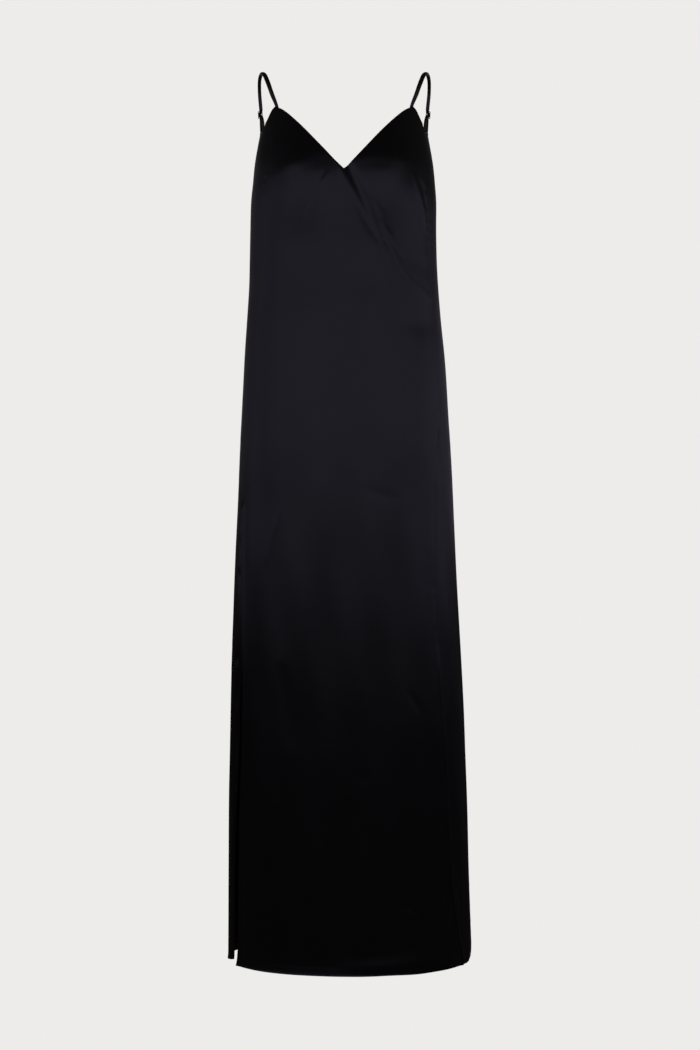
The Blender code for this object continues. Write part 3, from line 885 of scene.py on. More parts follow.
@dataclass(frozen=True)
class ThreadFinish:
    """Black polyester sewing thread, twisted. Its colour is lifted from black to a grey as a painted highlight,
    and the dark bands of its twist are painted shade.
    """

    name: str = "black_thread"
    # black thread, lifted to a grey as a painted highlight
    colour: tuple[float, float, float] = (0.060, 0.058, 0.064)
    # painted shade in the grooves of the twist
    between: tuple[float, float, float] = (0.012, 0.012, 0.013)
    roughness: float = 0.38

    def build(self, groups: dict[str, bpy.types.NodeTree]) -> bpy.types.Material:
        """Makes the material.

        Args:
            groups: The shared shader groups, by name; thread uses none.

        Returns:
            The material.
        """
        material, kit, shader = new_material(self.name)
        place = kit.add("TexCoord").outputs["Object"]
        # Diagonal bands of painted shade between the twist's turns, over the painted highlight colour.
        twist = kit.add("TexWave", {"Vector": place, "Scale": 2600.0},
                        wave_type="BANDS", bands_direction="DIAGONAL")
        shade = kit.blend(twist.outputs["Fac"], (*self.between, 1.0), (*self.colour, 1.0))
        kit.put(shader, {"Base Color": shade, "Roughness": self.roughness})
        return material


@dataclass
class Finishes:
    """Every finish of the dress, with the shader groups that they share."""

    satin: bpy.types.Material = field(init=False)
    strap: bpy.types.Material = field(init=False)
    enamel: bpy.types.Material = field(init=False)
    thread: bpy.types.Material = field(init=False)

    def __post_init__(self) -> None:
        """Builds the groups once, then the materials."""
        groups = {tree.name: tree for tree in (weave_group(), cloth_variation_group())}
        self.satin = SatinFinish().build(groups)
        self.strap = SatinFinish(name="strap_satin", roughness=0.36, spread=0.3, bump=0.2).build(groups)
        self.enamel = EnamelFinish().build(groups)
        self.thread = ThreadFinish().build(groups)


def dress_piece(piece: bpy.types.Object, material: bpy.types.Material, slot: Slot, *nodes: str
                ) -> bpy.types.Object:
    """Gives a piece its material and its body, and hides the frame's nodes that it stands for."""
    piece.data.materials.clear()
    piece.data.materials.append(material)
    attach(piece, "root")
    if nodes:
        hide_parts(*nodes)
    return piece


# ---------------------------------------------------------------- the cloth
class Ripple(NamedTuple):
    """A standing wave in hanging cloth.

    It has a height, its turns for each metre round the panel and up it, how much the panel's
    phase shifts it, and how far it sways sideways with height, in turns.
    """

    height: float
    round: float
    up: float
    lag: float
    sway: float

    def lift(self, across: Array, z: Array, phase: float) -> Array:
        """How far the wave stands out at each place."""
        turns = self.round * across + self.up * z + self.sway * np.sin(3.1 * z)
        return self.height * np.sin(2 * math.pi * turns + self.lag * phase)


SKIRT_RIPPLES = rows(Ripple, (
    (0.00060, 1 / 0.131, 0.0, 1.0, 0.21),
    (0.00030, 1 / 0.073, 0.30, 2.3, 0.0),
))
HIP_RIPPLES = rows(Ripple, (
    (0.00040, 1 / 0.097, -1 / 0.46, 1.3, 0.0),
    (0.00025, 1 / 0.061, 1 / 0.31, 0.4, 0.0),
))
ALL_OVER_RIPPLE = Ripple(0.00005, 3.4, 1 / 0.137, 1.3, 0.0)

FAR = 9.0                                   # the distance to an edge that is not there
FRONT, BACK = -math.pi / 2, math.pi / 2     # the centre lines' angles

# distances from an edge where the grid is close, so that the edge can roll and the stitches sink
EDGE_STEPS = np.array((0.0, 0.0007, 0.0015, 0.0025, 0.0038, 0.0055, 0.0075))
HEM_STEPS = np.array((0.0, 0.0006, 0.0014, 0.0025, 0.0045, 0.008, 0.0112, 0.0122, 0.013, 0.0138, 0.0148, 0.0175))


class Places(NamedTuple):
    """A panel's grid: where each place is, and how far it lies from the panel's lines and edges."""

    angle: Array
    z: Array
    across: Array
    from_left: Array
    from_right: Array
    from_top: Array
    from_hem: Array


@dataclass
class Panel:
    """What the front and back have in common: a closed shell laid on the form from a grid."""

    form: DressForm
    cloth: float = 0.00045
    turned: float = 0.00115
    seam_gap: float = 0.00003
    neck_turn: float = 0.006
    hem_turn: float = 0.013
    slit_turn: float = 0.012
    turn_step: float = 0.001
    bodice_z: float = -0.300
    bodice_rows: int = 108
    skirt_rows: int = 198
    pucker_phase: float = 0.6
    drape_phase: float = 0.9
    slit_proud: float = 0.0018
    centre: float = FRONT
    left_way: int = 1

    def column_shares(self, half_width: float, columns: int) -> Array:
        """Places the columns across a panel, closer together at its two edges.

        Args:
            half_width: Half the panel's width.
            columns: How many columns it has.

        Returns:
            Shares from -1 to 1.
        """
        close = 1 - EDGE_STEPS / half_width
        even = np.linspace(0.0, close[-1], columns // 2 - len(close) + 1)[:-1]
        half = np.concatenate((even, close[::-1]))
        return np.concatenate((-half[::-1][:-1], half))

    def row_heights(self, top: Array, hem: Array) -> Array:
        """Places the rows from the top edge down to the hem, closer together at both.

        Args:
            top: The top edge's height at each column.
            hem: The hem's height at each column.

        Returns:
            The height at each row (first axis) and column.
        """
        near = EDGE_STEPS[:, None] * np.ones_like(top)[None, :]
        drop = top - self.bodice_z - EDGE_STEPS[-1]
        even = np.linspace(0.0, 1.0, self.bodice_rows - len(EDGE_STEPS) + 1)[1:-1]
        bodice = EDGE_STEPS[-1] + even[:, None] * drop[None, :]
        upper = top[None, :] - np.concatenate((near, bodice))
        low = hem[None, :] + HEM_STEPS[::-1, None]
        share = np.linspace(0.0, 1.0, self.skirt_rows - len(HEM_STEPS) + 1)[:-1]
        skirt = self.bodice_z + (low[0] - self.bodice_z)[None, :] * share[:, None]
        return np.concatenate((upper, skirt, low))

    def shell(self, name: str, angle: Array, z: Array, lift: Array, gauge: Array, across: Array
              ) -> bpy.types.Object:
        """A closed cloth shell.

        Args:
            name: The piece's name.
            angle: The angle of each grid place.
            z: The height of each grid place.
            lift: How far each place stands out from the plain form.
            gauge: The cloth's thickness at each place.
            across: The distance round the panel from its centre line, for the weave.

        Returns:
            The object.
        """
        rows, columns = angle.shape
        outer = self.form.plain(angle, z) + self.form.outward(angle, z) * lift[..., None]
        facing = unit(np.cross(np.gradient(outer, axis=0), np.gradient(outer, axis=1)))
        inner = outer - facing * gauge[..., None]
        points = np.concatenate((outer.reshape(-1, 3), inner.reshape(-1, 3)))
        count = rows * columns
        faces = grid_faces(rows, columns) + grid_faces(rows, columns, count, flip=True)
        rim = list(range(columns))
        rim += [i * columns + columns - 1 for i in range(1, rows)]
        rim += [(rows - 1) * columns + j for j in range(columns - 2, -1, -1)]
        rim += [i * columns for i in range(rows - 2, 0, -1)]
        for here, there in zip(rim, rim[1:] + rim[:1]):
            faces.append([here, there, there + count, here + count])
        flat = np.stack((across, z), axis=-1).reshape(-1, 2)
        return make_mesh(name, points, faces, np.concatenate((flat, flat)))

    def edge_lift(self, from_seam: Array, from_slit: Array, from_top: Array, from_hem: Array) -> Array:
        """How the edges roll in and the stitched lines sink.

        Args:
            from_seam: Distance from the nearest sewn side seam.
            from_slit: Distance from the slit's edge, or large where there is none.
            from_top: Distance below the top edge.
            from_hem: Distance above the hem.

        Returns:
            The lift, mostly below 0.
        """
        lift = -0.00025 * bell(from_seam, 0.0011) * ramp(0.75, 1.0, from_top)
        for distance in (from_slit, from_top):
            lift = lift - 0.0004 * bell(distance, 0.0009)
        lift = lift - 0.00010 * bell(from_hem - self.hem_turn, 0.0008)
        return lift - 0.00018 * bell(from_slit - self.slit_turn, 0.0016)

    def thickness(self, from_slit: Array, from_top: Array, from_hem: Array) -> Array:
        """The cloth's thickness, doubled where its edges are turned in.

        Args:
            from_slit: Distance from the slit's edge, or large where there is none.
            from_top: Distance below the top edge.
            from_hem: Distance above the hem.

        Returns:
            The thickness.
        """
        edges = ((self.neck_turn, from_top), (self.hem_turn, from_hem), (self.slit_turn, from_slit))
        turned = np.maximum.reduce([1 - ramp(turn, turn + self.turn_step, away) for turn, away in edges])
        return self.cloth + (self.turned - self.cloth) * turned

    def seam_pucker(self, from_seam: Array, z: Array) -> Array:
        """Small uneven ripples where a long seam draws up the cloth.

        Args:
            from_seam: Distance from the nearest sewn side seam.
            z: Heights.

        Returns:
            The lift.
        """
        beat = np.sin(2 * math.pi * z / 0.0171 + self.pucker_phase + 1.7 * np.sin(2 * math.pi * z / 0.083))
        strength = 0.55 + 0.45 * np.sin(2 * math.pi * z / 0.211 + 2 * self.pucker_phase)
        return 0.00016 * beat * strength * np.exp(-from_seam / 0.007) * ramp(0.0, 0.0015, from_seam)

    def left_seam_line(self, from_left: Array, z: Array) -> Array:
        """The left seam's soft groove at the hip, which turns into a ridge down the skirt.

        Args:
            from_left: Distance from the left seam.
            z: Heights.

        Returns:
            The lift.
        """
        groove = ramp(-0.50, -0.60, z) * (1 - ramp(-0.86, -0.94, z))
        ridge = ramp(-0.82, -0.94, z) * (0.8 + 0.4 * ramp(-1.14, -1.24, z))
        uneven = 0.85 + 0.15 * np.sin(2 * math.pi * z / 0.117)
        return uneven * (0.0015 * ridge * bell(from_left, 0.0032) - 0.0012 * groove * bell(from_left, 0.0036))

    def hem_flare(self, from_hem: Array, x: Array) -> Array:
        """The hem's last few millimetres kick out a little, most on the wearer's left of the front."""
        share = 0.7 + 0.3 * ramp(-0.03, 0.03, x) * (1 - ramp(0.13, 0.17, x))
        return 0.0021 * share * np.exp(-from_hem / 0.0040)

    def drape(self, across: Array, z: Array) -> Array:
        """Broad, shallow unevenness of hanging cloth, stronger towards the hem.

        Args:
            across: Distances round the panel from its centre line.
            z: Heights.

        Returns:
            The lift.
        """
        skirt, hips = (sum(ripple.lift(across, z, self.drape_phase) for ripple in table)
                       for table in (SKIRT_RIPPLES, HIP_RIPPLES))
        return (skirt * ramp(-0.55, -1.2, z) + hips * ramp(-0.38, -0.60, z)
                + ALL_OVER_RIPPLE.lift(across, z, self.drape_phase))

    def measure(self, angle: Array, z: Array, edges: Sequence[Array], top: Array, hem: Array) -> Places:
        """Measures where each place of the grid lies.

        Args:
            angle: Angles of the places.
            z: Heights of the places.
            edges: The angles of the left and right edges at each place's height.
            top: The top edge's height at each column.
            hem: The hem's height at each column.

        Returns:
            The places.
        """
        across = self.form.travel(self.centre, angle, z)
        left, right = (self.left_way * (self.form.travel(self.centre, edge, z) - across) for edge in edges)
        return Places(angle, z, across, left, -right, top[None, :] - z, z - hem[None, :])

    def dressed(self, name: str, node: str, at: Places, creases: Array, flare: Array, finishes: Finishes
                ) -> bpy.types.Object:
        """The panel's cloth with everything that is laid on it.

        Args:
            name: The piece's name.
            node: The frame's node that it stands for.
            at: The grid's places.
            creases: The creases' lift.
            flare: The hem's lift.
            finishes: The finishes.

        Returns:
            The piece.
        """
        in_slit = ramp(SLIT_TOP_Z + 0.002, SLIT_TOP_Z - 0.004, at.z)
        from_slit = at.from_right + FAR * (1 - in_slit)
        from_seam = np.minimum(at.from_left, at.from_right + FAR * in_slit)
        proud = self.slit_proud * ramp(-0.664, -0.680, at.z) * bell(from_slit, 0.0070)
        lift = (creases * ramp(-0.002, 0.004, at.from_hem) * ramp(0.0, 0.010, from_seam)
                + self.edge_lift(from_seam, from_slit, at.from_top, at.from_hem)
                + self.seam_pucker(from_seam, at.z) + self.drape(at.across, at.z) * ramp(0.0, 0.02, from_seam)
                + self.left_seam_line(at.from_left, at.z) + proud + flare)
        gauge = self.thickness(from_slit, at.from_top, at.from_hem)
        piece = self.shell(name, at.angle, at.z, lift, gauge, at.across)
        return dress_piece(piece, finishes.satin, Slot.SATIN, node)


@dataclass
class FrontPanel(Panel):
    """The front, from the V neck to the hem, with its slit edge on the wearer's right."""

    columns: int = 146
    half_width: float = 0.25
    neck_places: int = 90
    armhole_places: int = 60

    def edges(self, z: Array) -> tuple[Array, Array]:
        """The angles of the panel's left and right edges."""
        left, right = self.form.seam_angles(z)
        half = self.seam_gap / 2
        return left - half / self.form.speed(left, z), right + half / self.form.speed(right, z)

    def top_edge(self) -> tuple[Array, Array]:
        """The top edge on one side.

        Returns:
            Shares of the way from the centre to the seam, and the heights there.
        """
        seam_x = self.form.plain(self.edges(np.array(SEAM_TOP_Z))[0], SEAM_TOP_Z)[0]
        neck, armhole = SmoothTable(NECK_EDGE), SmoothTable(ARMHOLE_EDGE)
        x = np.concatenate((np.linspace(0.0, NECK_POINT_X, self.neck_places),
                            np.linspace(NECK_POINT_X, seam_x, self.armhole_places)[1:]))
        z = np.where(x <= NECK_POINT_X, neck.read(x)[0], armhole.read(np.minimum(x, ARMHOLE_EDGE[-1].x))[0])
        angle = self.form.angle_at_x(x, z)
        share = (angle - FRONT) / (self.edges(z)[0] - FRONT)
        share[0], share[-1], z[-1] = 0.0, 1.0, SEAM_TOP_Z
        return np.maximum.accumulate(share), z

    def build(self, finishes: Finishes) -> bpy.types.Object:
        """Makes the panel.

        Args:
            finishes: The finishes.

        Returns:
            The front cloth.
        """
        shares, tops = self.top_edge()
        share = self.column_shares(self.half_width, self.columns)
        corner = shares[self.neck_places - 1]
        for side in Side:
            share[np.argmin(np.abs(share - side.value * corner))] = side.value * corner
        top = np.interp(np.abs(share), shares, tops)
        hem = np.full(share.shape, HEM_Z)
        z = self.row_heights(top, hem)
        left, right = self.edges(z)
        angle = FRONT + share * np.where(share < 0, FRONT - right, left - FRONT)
        at = self.measure(angle, z, (left, right), top, hem)
        x = self.form.plain(angle, z)[..., 0]
        creases = crease_height(FRONT_CREASES, x, z)
        return self.dressed("front_cloth", "front_panel", at, creases, self.hem_flare(at.from_hem, x), finishes)


@dataclass
class BackPanel(Panel):
    """The back, from its low edge to the hem, wrapping round to both seams."""

    columns: int = 152
    half_width: float = 0.29
    corner_lift: float = 0.0045
    corner_reach: float = 0.016
    drape_phase: float = 2.2
    slit_proud: float = -0.0034
    centre: float = BACK
    left_way: int = -1
    flare_share: float = 0.5

    def edges(self, z: Array) -> tuple[Array, Array]:
        """The angles of the panel's left and right edges, counted on round the back.

        Args:
            z: Heights.

        Returns:
            The angles of both edges.
        """
        left, right = self.form.seam_angles(z)
        opened = self.form.slit_open(z) + self.seam_gap / 2
        start = left + self.seam_gap / 2 / self.form.speed(left, z)
        return start, right - opened / self.form.speed(right, z) + 2 * math.pi

    def build(self, finishes: Finishes) -> bpy.types.Object:
        """Makes the panel.

        Args:
            finishes: The finishes.

        Returns:
            The back cloth.
        """
        share = self.column_shares(self.half_width, self.columns) * 0.5 + 0.5
        edge = SmoothTable(BACK_EDGE)
        top = np.full(share.shape, SEAM_TOP_Z)
        for _ in range(6):
            left, right = self.edges(top)
            degrees = np.degrees(left + (right - left) * share)
            top = edge.read(np.where(degrees > 90, 180 - degrees, degrees))[0]
        top[0] = top[-1] = SEAM_TOP_Z
        from_corner = (1 - share) * 2 * self.half_width
        hem = HEM_Z + self.corner_lift * np.exp(-from_corner / self.corner_reach)
        z = self.row_heights(top, hem)
        left, right = self.edges(z)
        at = self.measure(left + (right - left) * share[None, :], z, (left, right), top, hem)
        flare = self.flare_share * self.hem_flare(at.from_hem, np.full(z.shape, 0.02))
        creases = crease_height(BACK_CREASES, at.across, z)
        return self.dressed("back_cloth", "back_panel", at, creases, flare, finishes)


# ---------------------------------------------------------------- seams and stitching
@dataclass
class SideSeam:
    """The pressed-open seam allowance behind one side seam."""

    form: DressForm
    side: Side
    half_width: float = 0.0045
    inset: float = 0.00145
    cloth: float = 0.0005
    below_top: float = 0.002
    above_hem: float = 0.003
    above_slit: float = 0.004
    rows: int = 150

    def build(self, finishes: Finishes) -> bpy.types.Object:
        """Makes the strip of doubled cloth.

        Args:
            finishes: The finishes.

        Returns:
            The strip.
        """
        low = HEM_Z + self.above_hem if self.side is Side.LEFT else SLIT_TOP_Z + self.above_slit
        offsets = np.array((-1.0, -0.75, -0.35, 0.0, 0.35, 0.75, 1.0)) * self.half_width
        z = np.linspace(SEAM_TOP_Z - self.below_top, low, self.rows)[:, None] * np.ones(len(offsets))
        left, right = self.form.seam_angles(z)
        seam = left if self.side is Side.LEFT else right
        angle = seam + offsets / self.form.speed(seam, z)
        lift = -self.inset - 0.0003 * bell(offsets, 0.0008) + 0.00006 * np.sin(2 * math.pi * z / 0.019)
        gauge = np.full(z.shape, self.cloth)
        piece = Panel(self.form).shell(f"seam_allowance_{self.side.label}", angle, z, lift, gauge, offsets + 0 * z)
        return dress_piece(piece, finishes.satin, Slot.SATIN)


@dataclass
class ThreadWork:
    """Short bars of close black stitching, each a row of crossing threads."""

    thread: float = 0.00022
    pitch: float = 0.00042
    flatness: float = 0.85
    lean: float = 0.3
    arch: float = 1.6
    slit_rise: float = 0.0015
    slit_out: float = 0.0001
    slit_bar_length: float = 0.0075
    slit_bar_width: float = 0.0016

    def bar(self, name: str, centre: Array, along: Array, across: Array, length: float, width: float,
            finishes: Finishes) -> bpy.types.Object:
        """A bar tack lying on the cloth.

        Args:
            name: The piece's name.
            centre: The bar's middle.
            along: The direction that the bar runs in.
            across: The direction of its stitches.
            length: The bar's length.
            width: The stitches' width.
            finishes: The finishes.

        Returns:
            The bar.
        """
        along, across = unit(np.asarray(along, float)), unit(np.asarray(across, float))
        out = np.cross(along, across)
        count = max(3, int(length / self.pitch))
        t = np.linspace(-1.0, 1.0, 7)[:, None]
        profile = oval(self.thread, self.thread * self.flatness, 2.0, 8)
        threads = []
        for i in range(count):
            middle = centre + along * ((i + 0.5) / count - 0.5) * length
            lean = self.lean * self.pitch * (1 if i % 2 else -1)
            arch = out * self.thread * (1 - t**2) * self.arch
            path = middle + across * t * width / 2 + along * t * lean + arch
            threads.append(sweep(path, np.broadcast_to(along, path.shape), profile))
        return dress_piece(make_mesh(name, *joined(threads)), finishes.thread, Slot.SATIN)

    def slit_tack(self, form: DressForm, finishes: Finishes) -> bpy.types.Object:
        """The bar that holds the top of the slit.

        Args:
            form: The dress's form.
            finishes: The finishes.

        Returns:
            The bar.
        """
        z = np.array(SLIT_TOP_Z + self.slit_rise)
        angle = form.seam_angles(z)[1]
        place = form.plain(angle, z) + form.outward(angle, z) * self.slit_out
        round_it = form.plain(angle + 0.01, z) - form.plain(angle - 0.01, z)
        return self.bar("slit_bar_tack", place, round_it, np.array((0.0, 0.0, 1.0)),
                        self.slit_bar_length, self.slit_bar_width, finishes)


# ---------------------------------------------------------------- straps and their metal
@dataclass
class StrapSet:
    """One strap with its slider, ring and tab."""

    form: DressForm
    side: Side
    width: float = 0.0055
    thick: float = 0.0020
    plump: float = 0.0048
    folded: float = 0.0030
    cloth: float = 0.0012
    sewn_room: float = 0.0011
    strap_tuck: float = 0.012
    tuck_x: float = 0.1045
    tab_tuck: float = 0.010
    tab_rise: float = 0.0018
    leg_turn: float = 1.0
    leg_out: float = 0.0016
    slider_pitch: float = 0.0054
    slider_bar: float = 0.0011
    slider_room: float = 0.0004
    weave: float = 0.0020
    ring_radius: float = 0.0048
    ring_wire: float = 0.0007
    turn_radius: float = 0.0028
    ring_down: float = -0.0075
    slider_down: float = -0.0380
    shoulder_share: float = 0.6
    sewn_flat: float = 0.8
    sewn_full: float = 1.4
    woven: float = 1.25
    weave_start: float = 1.6
    weave_reach: float = 1.1
    sides: int = 30
    slider_corner: float = 0.0011
    tack_down: float = 0.0042
    tack_share: float = 0.8
    tack_width: float = 0.0012

    def __post_init__(self) -> None:
        """Finds the rear leg's lower end and its axes: down it, out from the body and across."""
        sign = self.side.value
        angle = math.radians(STRAP_DEGREES)
        self.angle = angle if sign > 0 else math.pi - angle
        self.top = STRAP_FOOT_Z
        self.panel_out = self.form.outward(np.array(self.angle), np.array(self.top))
        self.edge = self.form.plain(self.angle, self.top) + self.panel_out * self.leg_out
        last = SHOULDER_RUN[-1]
        start = np.array((last.x * sign, last.y, last.z))
        self.down = unit(self.edge - start)
        facing = self.panel_out + np.array((0.0, self.leg_turn, 0.0))
        self.out = unit(facing - self.down * facing.dot(self.down))
        self.across = np.cross(self.down, self.out)
        self.wire_out = -(self.weave + self.turn_radius)
        self.wire_down = self.ring_down - self.ring_radius

    def place(self, down: float, out: float) -> Array:
        """A point at a distance down the rear leg from the back edge, and out from it."""
        return self.edge + self.down * down + self.out * out

    def inside(self, down: float, inset: float) -> Array:
        """A point below the back edge, inside the back panel."""
        z = np.array(self.top - down)
        return self.form.plain(self.angle, z) - self.form.outward(np.array(self.angle), z) * inset

    def smooth(self, points: Array, axes: Array, thick: Array, spacing: float) -> tuple[Array, Array, Array]:
        """Resamples a run of points, axes and thicknesses evenly along a smooth curve.

        Args:
            points: The run's points.
            axes: The direction of the strap's width at each point.
            thick: The strap's thickness at each point.
            spacing: The distance between the new points.

        Returns:
            The new points, axes and thicknesses.
        """
        length = lengths(points)
        table = SmoothTable(np.column_stack((length, points, axes, thick)))
        read = table.read(np.linspace(0.0, length[-1], max(8, int(length[-1] / spacing))))
        return read[:3].T, unit(read[3:6].T), read[6]

    def weave_out(self, distance: float) -> float:
        """The strap's way in and out of the slider.

        Args:
            distance: How far down from the slider's middle bar.

        Returns:
            How far out the strap lies there.
        """
        if abs(distance) < self.slider_pitch:
            return self.weave * math.cos(math.pi * distance / self.slider_pitch)
        return -self.weave

    def front_corner(self) -> tuple[list[Array], Array]:
        """Where the strap is sewn in.

        Returns:
            Its first points, inside the front's corner, and the way out of the cloth there.
        """
        sign, corner_z = self.side.value, NECK_EDGE[-1].z
        inset = self.cloth + self.sewn_room + self.thick / 2
        points = []
        for x, z in ((self.tuck_x, corner_z - self.strap_tuck), (NECK_POINT_X, corner_z)):
            angle = self.form.angle_at_x(np.array(x * sign), np.array(z))
            points.append(self.form.plain(angle, z) - self.form.outward(angle, np.array(z)) * inset)
        return points, self.form.outward(angle, np.array(corner_z))

    def strap_path(self) -> tuple[Array, Array, Array]:
        """The strap's run, from the front corner over the shoulder, round the ring and up to the slider.

        Returns:
            Its centre, its width's direction and its thickness at each place.
        """
        sign = self.side.value
        sewn, corner_out = self.front_corner()
        run = list(zip(sewn, (self.thick * self.sewn_flat, self.thick * self.sewn_full)))
        run += [(np.array((p.x * sign, p.y, p.z)), self.plump) for p in SHOULDER_RUN]
        above = self.slider_down - self.weave_start * self.slider_pitch
        run.append((self.place(above, -self.weave), self.plump * 0.94))
        top_count = len(run)
        for away in np.linspace(-1.0, 1.0, 23)[1:] * self.weave_reach * self.slider_pitch:
            run.append((self.place(self.slider_down + away, self.weave_out(away)), self.thick * self.woven))
        half_way = (self.slider_down + self.wire_down) / 2
        run.append((self.place(half_way, -self.weave), self.folded))
        for turn in np.linspace(0.0, math.pi, 13):
            run.append((self.place(self.wire_down + self.turn_radius * math.sin(turn),
                                   self.wire_out + self.turn_radius * math.cos(turn)), self.thick))
        end_gap = self.slider_bar / 2 + STITCH_ROOM + self.thick / 2
        clear = -self.weave - self.thick - 2 * STITCH_ROOM
        run += [
            (self.place(half_way, (self.wire_out - self.turn_radius + clear) / 2), self.folded),
            (self.place(self.slider_down + self.slider_pitch, clear), self.thick),
            (self.place(self.slider_down + self.slider_pitch / 2, (clear - end_gap) / 2), self.thick),
            (self.place(self.slider_down, -end_gap), self.thick),
        ]
        shoulder = np.array((sign, 0.0, 0.0))
        front = unit(np.cross(corner_out, np.array((0.0, 0.0, -sign))))
        rear = self.across if self.across.dot(shoulder) > 0 else -self.across
        axes = []
        for index in range(len(run)):
            way = min(1.0, index / (top_count - 1))
            if way < self.shoulder_share:
                axes.append(front + (shoulder - front) * way / self.shoulder_share)
            else:
                axes.append(shoulder if index < top_count - 1 else rear)
        points, thick = zip(*run)
        return self.smooth(np.array(points), np.array(axes), np.array(thick), 0.0008)

    def rouleau(self, name: str, run: tuple[Array, Array, Array], finishes: Finishes, node: str
                ) -> bpy.types.Object:
        """A soft rouleau along a path, slightly uneven, with its seam sunk along one face.

        Args:
            name: The piece's name.
            run: Its centre, its width's direction and its thickness at each place.
            finishes: The finishes.
            node: The frame's node that it stands for.

        Returns:
            The piece.
        """
        path, axes, thick = run
        sides = self.sides
        points, faces = sweep(path, axes, oval(self.width / 2, self.thick / 2, 2.5, sides))
        grid = points.reshape(len(path), sides, 3) - path[:, None]
        wide = np.sum(grid * axes[:, None], axis=-1, keepdims=True) * axes[:, None]
        length = lengths(path)
        swell = 1 + 0.025 * np.sin(length / 0.0043 + 0.8 * np.sin(length / 0.017))
        high = (grid - wide) * (thick / self.thick * swell)[:, None, None]
        seam = bell((np.arange(sides) - 0.75 * sides) / sides, 0.025)[None, :, None]
        stitch = (0.6 + 0.4 * np.sin(length / 0.00045))[:, None, None]
        grid = path[:, None] + (wide + high) * (1 - 0.10 * seam * stitch)
        around = np.arange(sides) / sides * (2 * self.width)
        flat = np.stack(np.broadcast_arrays(around[None, :], length[:, None]), axis=-1).reshape(-1, 2)
        piece = make_mesh(name, grid.reshape(-1, 3), faces, flat)
        return dress_piece(piece, finishes.strap, Slot.STRAP, node)

    def build_strap(self, finishes: Finishes) -> bpy.types.Object:
        """The strap itself."""
        label = self.side.label
        return self.rouleau(f"rouleau_strap_{label}", self.strap_path(), finishes, f"strap_{label}")

    def build_tab(self, finishes: Finishes) -> bpy.types.Object:
        """The short loop through the ring, sewn inside the back edge.

        Args:
            finishes: The finishes.

        Returns:
            The tab.
        """
        lower_wire = self.ring_down + self.ring_radius
        near = self.cloth + self.sewn_room + self.thick / 2
        far = near + self.thick + STITCH_ROOM
        points = [self.inside(down, near) for down in (self.tab_tuck, 0.0, -self.tab_rise)]
        for turn in np.linspace(0.0, math.pi, 11):
            points.append(self.place(lower_wire - self.turn_radius * math.sin(turn),
                                     self.wire_out + self.turn_radius * math.cos(turn)))
        points += [self.inside(down, far) for down in (-self.tab_rise, 0.0, self.tab_tuck)]
        flat_axis = unit(np.cross(self.down, self.panel_out))
        axes = [flat_axis] * 3 + [self.across] * 11 + [flat_axis] * 3
        run = self.smooth(np.array(points), np.array(axes), np.full(len(points), self.thick), 0.0007)
        label = self.side.label
        return self.rouleau(f"rouleau_tab_{label}", run, finishes, f"ring_tab_{label}")

    def build_ring(self, finishes: Finishes) -> bpy.types.Object:
        """The round ring.

        Args:
            finishes: The finishes.

        Returns:
            The ring.
        """
        turn = 2 * math.pi * np.arange(72) / 72
        spokes = np.cos(turn)[:, None] * self.down + np.sin(turn)[:, None] * self.across
        path = self.place(self.ring_down, self.wire_out) + spokes * self.ring_radius
        points, faces = sweep(path, spokes, oval(self.ring_wire, self.ring_wire, 2.0, 18), closed=True)
        label = self.side.label
        piece = make_mesh(f"metal_ring_{label}", points, faces)
        return dress_piece(piece, finishes.enamel, Slot.METAL, f"ring_{label}")

    def build_slider(self, finishes: Finishes) -> bpy.types.Object:
        """The slider: a rounded frame with a bar across its middle.

        Args:
            finishes: The finishes.

        Returns:
            The slider.
        """
        half_wide = self.width / 2 + self.slider_room + self.slider_bar / 2
        radius = self.slider_corner
        outline = []
        for quarter, (x, y) in enumerate(((1, 1), (-1, 1), (-1, -1), (1, -1))):
            cx, cy = x * (half_wide - radius), y * (self.slider_pitch - radius)
            for turn in np.linspace(0.0, math.pi / 2, 8) + quarter * math.pi / 2:
                outline.append((cx + radius * math.cos(turn), cy + radius * math.sin(turn)))
        outline = np.array(outline)
        middle = self.place(self.slider_down, 0.0)
        path = middle + outline[:, :1] * self.across + outline[:, 1:] * self.down
        half = self.slider_bar / 2
        loop = sweep(path, np.broadcast_to(self.out, path.shape), oval(half, half, 2.6, 14), closed=True)
        ends = np.linspace(-half_wide, half_wide, 7)[:, None] * self.across + middle
        bar = sweep(ends, np.broadcast_to(self.out, ends.shape), oval(half, half, 2.4, 14))
        label = self.side.label
        piece = make_mesh(f"metal_slider_{label}", *joined((loop, bar)))
        return dress_piece(piece, finishes.enamel, Slot.METAL, f"slider_{label}")

    def build_tack(self, work: ThreadWork, finishes: Finishes) -> bpy.types.Object:
        """The bar of stitching that closes the strap's end under the slider.

        Args:
            work: The stitching.
            finishes: The finishes.

        Returns:
            The bar.
        """
        place = self.place(self.slider_down + self.slider_pitch + self.tack_down,
                           -self.weave - self.thick - 2 * STITCH_ROOM - self.folded / 2)
        return work.bar(f"strap_bar_tack_{self.side.label}", place, self.across, -self.down,
                        self.width * self.tack_share, self.tack_width, finishes)


# ---------------------------------------------------------------- the studio
class Softbox(NamedTuple):
    """A soft rectangular light: which way it stands from the dress, and how bright it is."""

    name: str
    degrees: float
    low: float
    high: float
    light: float
    colour: tuple[float, float, float]


FRONT_COOL = (0.94, 0.91, 1.08)
SIDE_COOL = (0.91, 0.86, 1.18)


